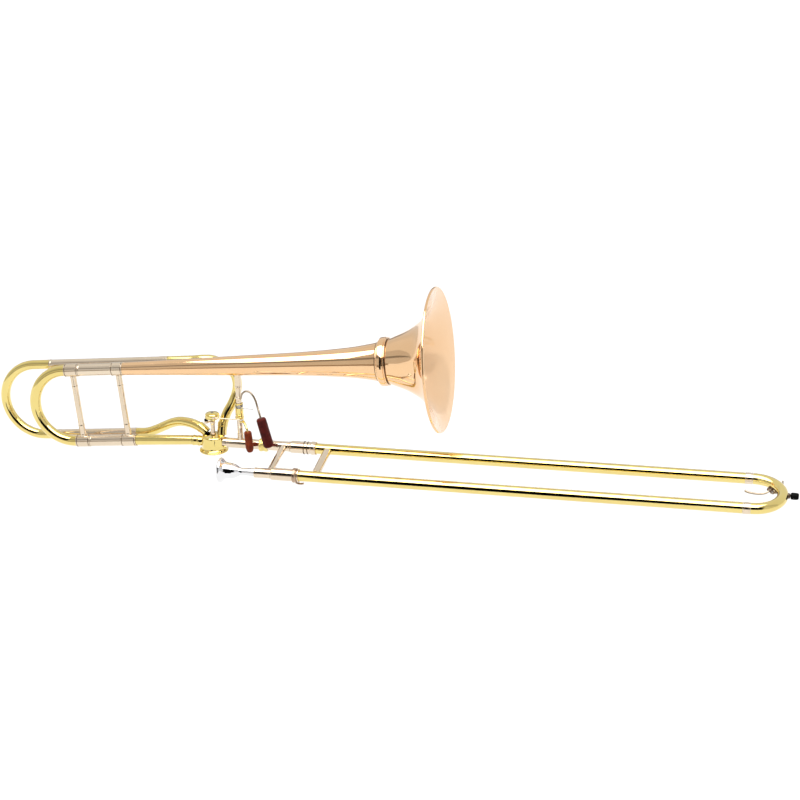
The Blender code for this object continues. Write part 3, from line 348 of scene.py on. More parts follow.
def rubber(name, colour):
    """Black rubber with a dull bloom and a fine moulded tooth."""
    g = Graph(name)
    bloom = g.remap(g.noise(120, 4.0), 0.4, 0.75, 0.0, 0.6)
    g.feed(g.shader.inputs["Base Color"], g.blend(bloom, colour, tuple(c * 3.0 + 0.003 for c in colour)))
    g.feed(g.shader.inputs["Roughness"], g.remap(g.noise(300, 3.0), 0.3, 0.7, 0.42, 0.62))
    g.feed(g.shader.inputs["Normal"], g.bump(g.noise(2500, 2.0), 0.3, 0.00004))
    g.shader.inputs["Specular IOR Level"].default_value = 0.06
    return g.material


def cork(name):
    """Natural cork: pale cells with dark pores."""
    g = Graph(name)
    cells = g.node("ShaderNodeTexVoronoi", Vector=g.place((1, 1, 1)), Scale=1400.0)
    pores = g.remap(g.noise(900, 5.0, 0.7), 0.55, 0.68, 0.0, 1.0)
    ground = g.blend((cells, "Distance"), (0.42, 0.25, 0.12), (0.55, 0.36, 0.2))
    g.feed(g.shader.inputs["Base Color"], g.blend(pores, ground, (0.12, 0.06, 0.03)))
    g.shader.inputs["Roughness"].default_value = 0.9
    g.feed(g.shader.inputs["Normal"], g.bump((cells, "Distance"), 0.5, 0.0001))
    return g.material


def leather(name, colour, dark, worn):
    """Glazed leather: pebbled grain, creases, darker handled patches and rubbed high spots."""
    g = Graph(name)
    mottled = g.blend(g.remap(g.noise(160, 5.0, 0.6), 0.35, 0.7, 0.0, 1.0), colour, dark)
    edge = g.remap((g.node("ShaderNodeNewGeometry"), "Pointiness"), 0.505, 0.56, 0.0, 0.55)
    g.feed(g.shader.inputs["Base Color"], g.blend(edge, mottled, worn))
    cells = {"feature": "DISTANCE_TO_EDGE"}
    pebble = g.node("ShaderNodeTexVoronoi", cells, Vector=g.place((1, 1, 1)), Scale=1300.0)
    grain = g.bump(g.remap((pebble, "Distance"), 0.0, 0.16, 0.0, 1.0), 0.45, 0.00012)
    g.feed(g.shader.inputs["Normal"], g.bump(g.noise(260, 4.0, 0.6), 0.35, 0.0004, grain))
    g.feed(g.shader.inputs["Roughness"], g.remap(g.noise(420, 4.0), 0.35, 0.7, 0.42, 0.64))
    g.shader.inputs["Specular IOR Level"].default_value = 0.14
    return g.material


def make_finishes():
    """Every finish on the instrument."""
    return {
        "yellow_brass": metal("lacquered_yellow_brass", (0.83, 0.67, 0.24), (0.72, 0.52, 0.15), 0.05, 0.4,
                              grain=(0.04, 1, 1)),
        "rose_brass": metal("lacquered_rose_brass", (0.89, 0.58, 0.32), (0.82, 0.48, 0.23), 0.05, 0.4, 0.97,
                            grain=(1, 0.2, 0.2)),
        "bell_inside": metal("rose_brass_inside", (0.93, 0.63, 0.38), (0.88, 0.55, 0.29), 0.13, 0.3, 0.5),
        "nickel": metal("polished_nickel_silver", (0.79, 0.66, 0.5), (0.64, 0.5, 0.34), 0.05, 0.3, 0.97,
                        grain=(0.04, 1, 1)),
        "silver": metal("silver_plate", (0.84, 0.84, 0.85), (0.66, 0.65, 0.63), 0.035),
        # painted shade: the near-black colour of the thin rings that stand for the shadow in the joints' grooves
        "tarnish_and_shade": metal("painted_groove_shade", (0.14, 0.09, 0.05), (0.08, 0.05, 0.03), 0.3),
        "worn_nickel": metal("worn_nickel_silver", (0.4, 0.33, 0.25), (0.24, 0.18, 0.12), 0.16),
        # a darker, browner nickel silver for the slide lock ring and its lug
        "lock_ring": metal("dark_brownish_nickel", (0.5, 0.36, 0.25), (0.3, 0.2, 0.13), 0.14),
        "steel": metal("satin_steel", (0.45, 0.44, 0.42), (0.25, 0.23, 0.21), 0.22, grain_depth=0.00004),
        "dark_steel": metal("browned_steel", (0.16, 0.11, 0.08), (0.07, 0.05, 0.04), 0.3,
                            grain_depth=0.00004),
        "black_rubber": rubber("black_rubber_finish", (0.002, 0.002, 0.002)),
        "cork": cork("cork_finish"),
        "orange_leather": leather("tan_leather", (0.25, 0.036, 0.006), (0.12, 0.014, 0.003),
                                  (0.4, 0.075, 0.016)),
        "red_leather": leather("oxblood_leather", (0.1, 0.0045, 0.0025), (0.045, 0.002, 0.0015),
                               (0.2, 0.015, 0.008)),
    }


FINISH = make_finishes()


def dress_frame():
    """Give every CAD node its finish from the record's slot."""
    slots = {row["node"]: row["material_slot"] for row in frame["record"]["subparts"]}
    for name, node in frame["nodes"].items():
        for slot in node.material_slots:
            slot.material = FINISH[slots[name]]


# ---------------------------------------------------------------- bell

BELL_STATIONS = (                  # distance from the rim along the bell, outer radius
    (-0.4967, 0.01), (-0.44, 0.0114), (-0.388, 0.0128), (-0.309, 0.0152), (-0.214, 0.0178),
    (-0.137, 0.0227), (-0.094, 0.0289), (-0.077, 0.0333), (-0.06, 0.0396), (-0.046, 0.0457),
    (-0.03, 0.0556), (-0.02, 0.065), (-0.01, 0.0796), (-0.004, 0.0935), (-0.0005, 0.1055),
)
BELL_WALL = 0.0006
BEAD = 0.0021


def bell_radius(reach):
    """Outer radius of the bell between its stations."""
    for (x0, r0), (x1, r1) in zip(BELL_STATIONS, BELL_STATIONS[1:]):
        if x0 <= reach <= x1:
            return r0 + (r1 - r0) * (reach - x0) / (x1 - x0)
    return BELL_STATIONS[-1][1]


def make_bell():
    """The bell as one spun sheet with a rolled rim, and the collar over its joint."""
    outer = [p.to_2d() for p in smooth_curve([(x, r, 0) for x, r in BELL_STATIONS], 0.0045)]
    last = len(outer) - 1
    inner = []
    for i, point in enumerate(outer):
        tangent = (outer[min(i + 1, last)] - outer[max(i - 1, 0)]).normalized()
        inner.append(point + BELL_WALL * Vector((tangent.y, -tangent.x)))
    back = (outer[-1] - inner[-1]).normalized()
    centre = inner[-1] + back * BEAD
    turns = [math.radians(14 * k) for k in range(1, 21)]
    roll_in = [centre + Matrix.Rotation(a, 2) @ -back * (BEAD - BELL_WALL) for a in turns]
    roll_out = [centre + Matrix.Rotation(a, 2) @ -back * BEAD for a in turns]
    shape = bmesh.new()
    sides = 160
    add_lathe(shape, [*outer, *roll_in, *reversed(roll_out), *reversed(inner)], BELL, sides, 0)
    bell = piece("bell", shape, "rose_brass", "horn_body", "bell_stem", "bell_flare")
    bell.data.materials.append(FINISH["bell_inside"])
    first_inside = (len(outer) + len(roll_in) + len(roll_out)) * sides
    for face in bell.data.polygons:
        face.material_index = int(face.index >= first_inside)

    low, high = -0.0915, -0.0765
    profile = shifted(
        low, (0, bell_radius(low) + 0.0002), (0, 0.0312), (0.0009, 0.0318), (0.0018, 0.0317),
        (0.0024, 0.033), (0.0028, 0.0352), (0.004, 0.0363), (0.0062, 0.0367), (0.0085, 0.0368),
        (0.0108, 0.0367), (0.0122, 0.0361), (0.0126, 0.0354), (0.0132, 0.0353), (0.0137, 0.036),
    )
    profile += [(high, 0.036), (high, bell_radius(high) + 0.0001)]
    turned("bell_collar", profile, BELL, 128, 0.0005, "rose_brass", "horn_body", "bell_ring")


# ---------------------------------------------------------------- tuning slides

MAIN_FERRULES = (-0.5933, -0.5705)
SLEEVE_END = -0.4985
STEM_FERRULE = (-0.516, -0.497)
NECK_FERRULE = (-0.518, -0.4937)
LEG_RADIUS = (0.0084, 0.0079)      # upper, lower
FERRULE_RADIUS = (0.0101, 0.0095)
STEM_FERRULE_RADIUS = 0.0104
NECK_FERRULE_RADIUS = 0.0097


def ferrule_outline(start, end, radius, bore, groove=0.0007):
    """A sleeve with a groove behind a raised rim at each end."""
    low = radius - groove
    return [
        (start, bore), (start, radius - 0.0003), (start + 0.0003, radius), (start + 0.0014, radius),
        (start + 0.0015, low), (start + 0.0023, low), (start + 0.0024, radius - 0.0001),
        (end - 0.0024, radius - 0.0001), (end - 0.0023, low), (end - 0.0015, low), (end - 0.0014, radius),
        (end - 0.0003, radius), (end, radius - 0.0003), (end, bore),
    ]


def add_groove_shade(name, body, rings):
    """Painted shade: thin near-black rings seated in the grooves at the joints of a nickel body, standing for the
    shadow in the gaps; each ring is (frame, distance, radius).
    """
    shape = bmesh.new()
    for at, x, radius in rings:
        start, end, depth = x - 0.0005, x + 0.0005, radius - 0.0009
        add_lathe(shape, [(start, depth), (start, radius), (end, radius), (end, depth)], at, 56, 0)
    piece(name, shape, "tarnish_and_shade", body, slot="nickel")


def add_brace(shape, x, seats):
    """An upright brace between the bell's two legs, with a turned socket at each end."""
    top, bottom = -seats[0] + 0.0012, -LEG_SPACING + seats[1] - 0.0012
    place, length = along((x, 0, top), (x, 0, bottom), BELL)
    socket, rod = 0.005, 0.0046
    half = [
        (0, 0), (0, socket), (0.003, socket), (0.0036, socket - 0.0003), (0.016, socket - 0.0003),
        (0.0166, socket), (0.0182, socket), (0.0188, socket - 0.0002), (0.0194, rod),
    ]
    outline = half + [(length - d, r) for d, r in reversed(half)]
    add_lathe(shape, outline, place, 48, 0.0003)


def make_main_legs():
    """Fixed sleeves, and the legs with their ferrules that draw out with the bow."""
    start, end = MAIN_FERRULES
    rows = (("upper", BELL, 0), ("lower", LOWER_LEG, 1))
    moving = bmesh.new()
    for side, at, k in rows:
        bore = LEG_RADIUS[k] + 0.0004
        wall = bore + 0.0006
        turned(f"tuning_sleeve_{side}", [
            (end + GAP, bore), (end + GAP, wall + 0.0002), (end + 0.0018, wall + 0.0002),
            (end + 0.0022, wall), (SLEEVE_END, wall), (SLEEVE_END, bore),
        ], at, 64, 0.0002, "nickel", "horn_body", f"main_sleeve_{side}")
        add_lathe(moving, [
            (start, LEG_RADIUS[k] - 0.0005), (start, LEG_RADIUS[k] + 0.0002), (end - 0.001, LEG_RADIUS[k]),
            (SLEEVE_END - 0.0045, LEG_RADIUS[k]), (SLEEVE_END - 0.0045, LEG_RADIUS[k] - 0.0005),
        ], at, 64, 0.0002)
        ferrule = ferrule_outline(start, end, FERRULE_RADIUS[k], LEG_RADIUS[k] - 0.0002)
        add_lathe(moving, ferrule, at, 64, 0.0001)
    add_brace(moving, (start + end) / 2, FERRULE_RADIUS)
    piece("tuning_legs", moving, "nickel", "main_slide", "main_leg_upper", "main_leg_lower", "main_brace")

    shape = bmesh.new()
    add_lathe(shape, ferrule_outline(*STEM_FERRULE, STEM_FERRULE_RADIUS, 0.0096, 0.0005), BELL, 64, 0.0001)
    add_lathe(shape, ferrule_outline(*NECK_FERRULE, NECK_FERRULE_RADIUS, 0.0088), LOWER_LEG, 64, 0.0001)
    add_brace(shape, sum(STEM_FERRULE) / 2, (STEM_FERRULE_RADIUS, NECK_FERRULE_RADIUS))
    nodes = "stem_ferrule", "neckpipe_ferrule", "bell_brace"
    piece("bell_brace_assembly", shape, "nickel", "horn_body", *nodes)

    # painted shade in the grooves of the tuning slide's ferrules
    add_groove_shade("tuning_slide_groove_shade", "main_slide", [
        (at, x, FERRULE_RADIUS[k] - 0.0002) for _, at, k in rows for x in (start + 0.0019, end - 0.0019)
    ])
    # painted shade in the grooves of the stem and neck ferrules, at the collar's ends and at the slide joints
    groove_shade_rings = []
    for at, (start, end), radius in (
            (BELL, STEM_FERRULE, STEM_FERRULE_RADIUS), (LOWER_LEG, NECK_FERRULE, NECK_FERRULE_RADIUS)):
        groove_shade_rings += [(at, x, radius - 0.0002) for x in (start + 0.0019, end - 0.0019)]
    groove_shade_rings += [(BELL, -0.0922, bell_radius(-0.0922) + 0.0007), (BELL, -0.0759, bell_radius(-0.0759) + 0.0006)]
    groove_shade_rings += [(FAR, 0.033, 0.0101), (FAR, 0.0386, 0.0099), (FAR, 0.0107, 0.0078), (NEAR, 0.0037, 0.0076)]
    add_groove_shade("bell_section_groove_shade", "horn_body", groove_shade_rings)

    bow = bmesh.new()
    centre = Matrix.Translation((MAIN_FERRULES[0] - 0.0013, 0, -LEG_SPACING / 2))
    path = half_circle(LEG_SPACING / 2, (0.001, 0.001))
    add_tube(bow, path, lambda s: 0.0087 - 0.0006 * s, lambda s: 0.0081 - 0.0006 * s, BELL @ centre, 56)
    piece("tuning_bow", bow, "yellow_brass", "main_slide", "main_bow")


F_BOW_X = -0.6598
F_SLEEVE_RADIUS = 0.0076
F_UPPER_SLEEVE = (-0.632, -0.4354)
F_LOWER_SLEEVE = (-0.636, -0.5054)
F_TUBE = 0.00735


def make_f_attachment():
    """Sleeves, bow, crook and S bend of the F attachment."""
    for side, at, sleeve in (("upper", F_UPPER, F_UPPER_SLEEVE), ("lower", F_LOWER, F_LOWER_SLEEVE)):
        start, end = sleeve
        turned(f"f_tuning_sleeve_{side}", [
            (start, 0.0071), (start, F_SLEEVE_RADIUS), (start + 0.0025, F_SLEEVE_RADIUS),
            (start + 0.0028, F_SLEEVE_RADIUS - 0.0003), (end - 0.015, F_SLEEVE_RADIUS - 0.0003),
            (end - 0.0146, F_SLEEVE_RADIUS), (end, F_SLEEVE_RADIUS), (end, 0.0071),
        ], at, 56, 0.0002, "nickel", "horn_body", f"f_sleeve_{side}")

    bow = bmesh.new()
    centre = F_UPPER @ Matrix.Translation((F_BOW_X, 0, -LEG_SPACING / 2))
    ends = [sleeve[0] - GAP - F_BOW_X for sleeve in (F_UPPER_SLEEVE, F_LOWER_SLEEVE)]
    path = half_circle(LEG_SPACING / 2, ends)
    add_tube(bow, path, F_SLEEVE_RADIUS - 0.0003, 0.007, centre, 52)
    piece("f_tuning_bow", bow, "yellow_brass", "f_slide", "f_bow")

    for side, at in (("upper", F_UPPER), ("lower", F_LOWER)):
        low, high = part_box(f"f_leg_{side}")
        radius = (high.y - low.y) / 2
        reach = ((high.x - low.x) - 2 * radius * abs(TUNING_AXIS.z)) / abs(TUNING_AXIS.x) / 2
        centre = (at.inverted() @ middle(f"f_leg_{side}")).x
        turned(f"f_tuning_leg_{side}", [
            (centre - reach, radius - 0.0005), (centre - reach, radius), (centre + reach, radius),
            (centre + reach, radius - 0.0005),
        ], at, 56, 0.0002, "nickel", "f_slide", f"f_leg_{side}")

    upper_start = F_UPPER @ Vector((F_UPPER_SLEEVE[1] + GAP, 0, 0))
    upper_bend = F_UPPER @ Vector((-0.365, 0, 0))
    crook = [
        upper_start, upper_start.lerp(upper_bend, 0.5), upper_bend,
        (-0.0995, 0.0737, 0.1195), (-0.0835, 0.0737, 0.105), (-0.08, 0.0733, 0.089),
        (-0.0828, 0.072, 0.0735), (-0.0893, 0.0693, 0.0578), (-0.095, 0.065, 0.0475),
        (-0.0985, 0.0595, 0.0375), (-0.1003, 0.053, 0.0275), (-0.1005, 0.049, 0.019),
        (-0.1005, 0.048, 0.015),
    ]
    lower_start = F_LOWER @ Vector((F_LOWER_SLEEVE[1] + GAP, 0, 0))
    s_bend = [
        lower_start, (-0.232, 0.0737, -0.0002), (-0.217, 0.0732, 0.0055), (-0.1995, 0.0712, 0.0145),
        (-0.186, 0.0685, 0.0212), (-0.1713, 0.0645, 0.0255), (-0.153, 0.0585, 0.0262),
        (-0.138, 0.053, 0.0236), (-0.1292, 0.05, 0.02), (-0.1252, 0.049, 0.0169),
    ]
    for name, route, node in (("f_crook_tube", crook, "f_crook"), ("f_s_bend_tube", s_bend, "f_s_bend")):
        shape = bmesh.new()
        curve = smooth_curve(route, 0.0028)
        add_tube(shape, curve, F_TUBE, F_TUBE - 0.0006, WORLD, 48)
        place, _ = along(curve[-5], curve[-1])
        ferrule = ferrule_outline(-0.006, 0.001, F_TUBE + 0.0007, F_TUBE - 0.0002, 0.0004)
        add_lathe(shape, ferrule, place, 48, 0.0001)
        piece(name, shape, "yellow_brass", "horn_body", node)


# ---------------------------------------------------------------- valve


def make_valve():
    """Casing with its domed shoulder, cap, tower, drum, stop and screw."""
    upright = VALVE @ UPRIGHT
    turned("valve_body", [
        (-0.0116, 0.0167), (0.006, 0.0167), (0.0103, 0.015), (0.0103, 0.0024), (0.0119, 0.0024),
        (0.0119, 0.004), (0.0117, 0.011), (0.0113, 0.0145), (0.0106, 0.0164), (0.0094, 0.0175),
        (0.008, 0.0178), (-0.007, 0.0178), (-0.0088, 0.0181), (-0.01, 0.0189), (-0.0108, 0.0203),
        (-0.0112, 0.0215), (-0.0116, 0.0215),
    ], upright, 96, 0.0004, "yellow_brass", "horn_body", "valve_casing")

    turned("valve_bottom_cap", [
        (-0.011, 0), (-0.011, 0.016), (-0.0119, 0.0163), (-0.0119, 0.0214), (-0.0124, 0.0221),
        (-0.0131, 0.0223), (-0.0139, 0.0222), (-0.0146, 0.0214), (-0.015, 0.02), (-0.015, 0.012),
        (-0.0147, 0.0115), (-0.0147, 0.004), (-0.015, 0.0034), (-0.015, 0),
    ], upright, 96, 0.0003, "yellow_brass", "horn_body", "valve_cap")

    tower = bmesh.new()
    add_lathe(tower, [
        (0.0122, 0.0024), (0.0122, 0.0046), (0.0138, 0.0046), (0.0144, 0.0036), (0.018, 0.0032),
        (0.029, 0.0032), (0.0302, 0.004), (0.0336, 0.004), (0.034, 0.0036), (0.034, 0.0024),
    ], upright, 48, 0.0003)
    stop = Vector((0.0095 * math.cos(math.radians(205)), 0.0095 * math.sin(math.radians(205)), 0))
    add_bar(tower, stop * 0.3 + Z * 0.033, stop + Z * 0.033, 0.0013, VALVE)
    add_bar(tower, stop + Z * 0.0314, stop + Z * 0.0347, 0.003, VALVE)
    piece("valve_tower", tower, "nickel", "horn_body", "valve_bearing")

    turned("stop_rubber", [
        (0.035, 0), (0.035, 0.0026), (0.0356, 0.0031), (0.0366, 0.0032), (0.0376, 0.0031), (0.0381, 0.0026),
        (0.0381, 0),
    ], VALVE @ Matrix.Translation(stop) @ UPRIGHT, 40, 0.0004, "black_rubber", "horn_body", "stop_bumper")

    drum = bmesh.new()
    add_lathe(drum, [
        (0.0384, 0.0024), (0.0384, 0.01), (0.039, 0.0108), (0.04, 0.011), (0.0407, 0.0107), (0.0412, 0.011),
        (0.044, 0.011), (0.0456, 0.0106), (0.0467, 0.0096), (0.0475, 0.0078), (0.0479, 0.0056),
        (0.0481, 0.0034), (0.0478, 0.0031), (0.0478, 0.0017), (0.0445, 0.0017), (0.0445, 0.0024),
    ], upright, 80, 0.0003)
    for turn in (20, 140, 260):
        side = Vector((math.cos(math.radians(turn)), math.sin(math.radians(turn)), 0))
        add_bar(drum, side * 0.0098 + Z * 0.0426, side * 0.0109 + Z * 0.0426, 0.0013, VALVE)
    add_link_arm(drum, VALVE_POINT, 0.008)
    piece("rotor_drum", drum, "yellow_brass", "rotor", "stop_drum")

    turned("drum_screw", [
        (0.0447, 0), (0.0447, 0.0013), (0.0485, 0.0013), (0.0485, 0.0026), (0.0491, 0.0027),
        (0.0494, 0.0023), (0.0495, 0.0015), (0.0495, 0),
    ], upright, 40, 0.0003, "steel", "rotor", "stop_screw")


LINK_ARM = 0.0145
LINK_START = math.radians(-63.0)
LINK_Z = middle("link_rod").z


def add_link_arm(shape, axis_point, inner_reach):
    """A thin arm that ends in an upright pin with its collar, from a hinge to the link rod."""
    away = Vector((math.cos(LINK_START), math.sin(LINK_START), 0))
    base = Vector((axis_point.x, axis_point.y, LINK_Z))
    pin = base + away * LINK_ARM
    arm = [base + away * reach - Z * 0.003 for reach in (inner_reach, 0.0105, 0.013)]
    add_tube(shape, arm, lambda s: 0.0013 - 0.0003 * s, 0.0, WORLD, 20)
    add_bar(shape, pin - Z * 0.0039, pin - Z * 0.0021, 0.0027)
    add_bar(shape, pin - Z * 0.0034, pin + Z * 0.0022, 0.0012)


def make_neck_and_ports():
    """The neckpipe, the valve's rear port, the receiver, tenon and lock nut."""
    shape = bmesh.new()
    start = LOWER_LEG @ Vector((NECK_FERRULE[1] + GAP, 0, 0))
    end = Vector((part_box("neckpipe")[1].x, FAR_LINE.y, FAR_LINE.z + 0.0002))
    add_tube(shape, [start.lerp(end, i / 24) for i in range(25)], lambda s: 0.00825 - 0.0009 * s,
             lambda s: 0.00765 - 0.0009 * s, WORLD, 56)
    piece("neck_tube", shape, "yellow_brass", "horn_body", "neckpipe")

    turned("rear_port", [
        (-0.145, 0.0067), (-0.145, 0.008), (-0.1446, 0.0083), (-0.1429, 0.0083), (-0.1424, 0.0078),
        (-0.1372, 0.0077), (-0.1367, 0.0082), (-0.136, 0.0083), (-0.135, 0.0083), (-0.1343, 0.0079),
        (-0.13, 0.0074), (-0.128, 0.0074), (-0.128, 0.0067),
    ], FAR, 64, 0.0003, "yellow_brass", "horn_body", "valve_rear_port")

    turned("slide_receiver", [
        (-0.0965, 0.0068), (-0.0965, 0.0083), (-0.09, 0.0083), (-0.0894, 0.008), (-0.089, 0.0077),
        (-0.038, 0.0077), (-0.03, 0.0077), (-0.03, 0.0071), (-0.079, 0.0068),
    ], FAR, 64, 0.0003, "nickel", "horn_body", "receiver")

    turned("slide_tenon_tube", [
        (-0.072, 0.0059), (-0.072, 0.0063), (-0.03, 0.0067), (-0.0297, 0.0076), (-0.029, 0.0077),
        (0.008, 0.0077), (0.0084, 0.008), (0.0105, 0.008), (0.0109, 0.0077), (0.0109, 0.0064),
        (-0.0297, 0.0062),
    ], FAR, 64, 0.0003, "nickel", "horn_body", "slide_tenon")

    knurls = 44

    def knurled(reach, angle):
        """Knurls on both rims, and none in the groove between."""
        return 0.01 * (math.cos(knurls * angle) - 1) * (abs(reach + 0.0315) > 0.0018)

    turned("slide_lock_nut", [
        (-0.038, 0.0081), (-0.038, 0.0093), (-0.0377, 0.0097), (-0.0372, 0.0099), (-0.0369, 0.0101),
        (-0.0366, 0.0102), (-0.034, 0.0102), (-0.0336, 0.01), (-0.0333, 0.0097), (-0.0297, 0.0097),
        (-0.0294, 0.01), (-0.029, 0.0102), (-0.0264, 0.0102), (-0.0261, 0.0101), (-0.0258, 0.0099),
        (-0.0253, 0.0096), (-0.025, 0.0092), (-0.025, 0.0081),
    ], FAR, knurls * 4, 0, "yellow_brass", "lock_nut", "lock_nut", wobble=knurled)


# ---------------------------------------------------------------- post, trigger and hand rest


def make_post():
    """The upright post from the slide receiver to the bell, with its socket and foot."""
    shape = bmesh.new()
    add_lathe(shape, [
        (0.0118, 0), (0.0118, 0.0046), (0.0135, 0.0047), (0.019, 0.0047), (0.02, 0.0045), (0.0206, 0.0047),
        (0.022, 0.0047), (0.0226, 0.0042), (0.08, 0.0042), (0.0955, 0.0042), (0.096, 0.0046),
        (0.0966, 0.0052), (0.0985, 0.0052), (0.0992, 0.0049), (0.114, 0.0048), (0.115, 0.0052),
        (0.1185, 0.0052), (0.1185, 0),
    ], POST @ UPRIGHT, 56, 0.0004)
    add_lathe(shape, [
        (0.078, 0.0041), (0.078, 0.005), (0.0784, 0.0053), (0.0816, 0.0053), (0.082, 0.005),
        (0.082, 0.0041),
    ], POST @ UPRIGHT, 48, 0.0003)
    add_bar(shape, (0, -0.004, 0.075), (0, -0.0049, 0.075), 0.0014, POST)
    piece("post_column", shape, "nickel", "horn_body", "post")


def make_trigger():
    """The trigger's barrel, arm and blade, its leather pad and its spring."""
    lever = bmesh.new()
    add_lathe(lever, [
        (0.0452, 0.0045), (0.0452, 0.006), (0.0456, 0.0066), (0.0496, 0.0066), (0.05, 0.0063),
        (0.0506, 0.0061), (0.053, 0.0061), (0.0533, 0.0058), (0.0538, 0.0058), (0.0541, 0.0061),
        (0.0628, 0.0061), (0.0632, 0.0058), (0.0636, 0.005), (0.07, 0.005), (0.0701, 0.0059),
        (0.0705, 0.0061), (0.0711, 0.0061), (0.0714, 0.0057), (0.0714, 0.0045),
    ], POST @ UPRIGHT, 64, 0.0003)
    add_link_arm(lever, POST_POINT, 0.0056)
    blade = smooth_curve([
        (0.004, -0.004, 0.047), (0.0095, -0.0105, 0.045), (0.0145, -0.0165, 0.0408),
        (0.0172, -0.0195, 0.036), (0.0182, -0.02, 0.03), (0.0192, -0.02, 0.018), (0.0202, -0.02, 0.006),
    ], 0.0015)
    add_tube(lever, blade, lambda s: 0.0017 + 0.0003 * math.cos(s * math.pi) ** 2, 0.0, POST, 28)
    piece("trigger_arm", lever, "yellow_brass", "trigger", "trigger_lever")

    top, bottom = Vector((0.018, -0.02, 0.0335)), Vector((0.0207, -0.02, -0.0005))
    make_leather_sleeve("trigger_leather", top, bottom, POST, (
        (0.0, 0.0046), (0.03, 0.0055), (0.12, 0.006), (0.4, 0.0061), (0.75, 0.006), (0.9, 0.0052),
        (0.97, 0.0036),
    ), "orange_leather", "trigger", "trigger_pad", seed=3.0)

    spring = bmesh.new()
    radius, turns, low, high = 0.0056, 3, 0.0646, 0.0688
    steps = turns * 40
    coil = []
    for i in range(steps + 1):
        angle = -math.pi / 2 - 2 * math.pi * turns * (1 - i / steps)
        height = high + (low - high) * i / steps
        coil.append(Vector((radius * math.cos(angle), radius * math.sin(angle), height)))
    tail = [Vector((0.002 + 0.0022 * k, -radius, low)) for k in range(10)]
    add_tube(spring, coil + tail, 0.00045, 0.0, POST, 12)
    add_ball(spring, (0.0225, -radius, low), 0.0009, POST)
    piece("trigger_spring_wire", spring, "steel", "horn_body", "trigger_spring")

    rod = bmesh.new()
    start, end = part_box("link_rod")
    y = middle("link_rod").y
    left, right = Vector((start.x + 0.0027, y, LINK_Z)), Vector((end.x - 0.0027, y, LINK_Z))
    add_bar(rod, left + X * 0.002, right - X * 0.002, 0.001)
    for centre, way in ((left, 1), (right, -1)):
        add_lathe(rod, [(-0.0014, 0.0015), (-0.0014, 0.0027), (0.0014, 0.0027), (0.0014, 0.0015)],
                  Matrix.Translation(centre) @ UPRIGHT, 40, 0.0003)
        add_bar(rod, centre + X * way * 0.0022, centre + X * way * 0.0075, 0.0013)
    piece("link_bar", rod, "nickel", "link", "link_rod")


def make_leather_sleeve(name, top, bottom, at, outline, finish, body, node, seed):
    """A leather sleeve with soft ends, a little wobble and a seam pressed along one side."""
    place, length = along(top, bottom, at)
    shape = bmesh.new()
    dense = smooth_curve([(d * length, r, 0) for d, r in outline], 0.0011)
    points = [(0, 0), *[(p.x, p.y) for p in dense], (length, 0)]

    def wobble(reach, angle):
        where = Vector((reach * 130, math.cos(angle) * 1.2, math.sin(angle) * 1.2 + seed))
        seam = math.exp(-((math.remainder(angle - math.pi / 2, 2 * math.pi)) / 0.12) ** 2)
        return 0.03 * noise.noise(where) - 0.02 - 0.045 * seam

    add_lathe(shape, points, place, 96, 0, wobble)
    pad = piece(name, shape, finish, body, node, sharp=60)


def make_hand_rest():
    """The bent rod and its leather rest."""
    top, bottom = Vector((-0.0285, 0.022, 0.056)), Vector((-0.0174, 0.022, 0.011))
    direction = (bottom - top).normalized()
    route = [
        (-0.0655, 0.0386, 0.08), (-0.064, 0.0366, 0.0802), (-0.0622, 0.0346, 0.0835),
        (-0.0598, 0.0336, 0.0895), (-0.0545, 0.0332, 0.0938), (-0.0481, 0.0328, 0.0935),
        (-0.043, 0.0321, 0.089), (-0.0388, 0.031, 0.082),
        (-0.0352, 0.0285, 0.0725), (-0.0315, 0.0245, 0.064), top, top + direction * 0.03,
    ]
    rod = bmesh.new()
    add_tube(rod, smooth_curve(route, 0.0018), 0.0015, 0.0, WORLD, 28)
    piece("hand_rest_wire", rod, "worn_nickel", "horn_body", "hand_rest_rod", slot="nickel")
    make_leather_sleeve("hand_rest_leather", top, bottom, WORLD, (
        (0.0, 0.0062), (0.02, 0.007), (0.06, 0.0076), (0.5, 0.0078), (0.93, 0.0079), (0.98, 0.0073),
        (1.0, 0.0064),
    ), "red_leather", "horn_body", "hand_rest_pad", seed=11.0)


# ---------------------------------------------------------------- hand slide


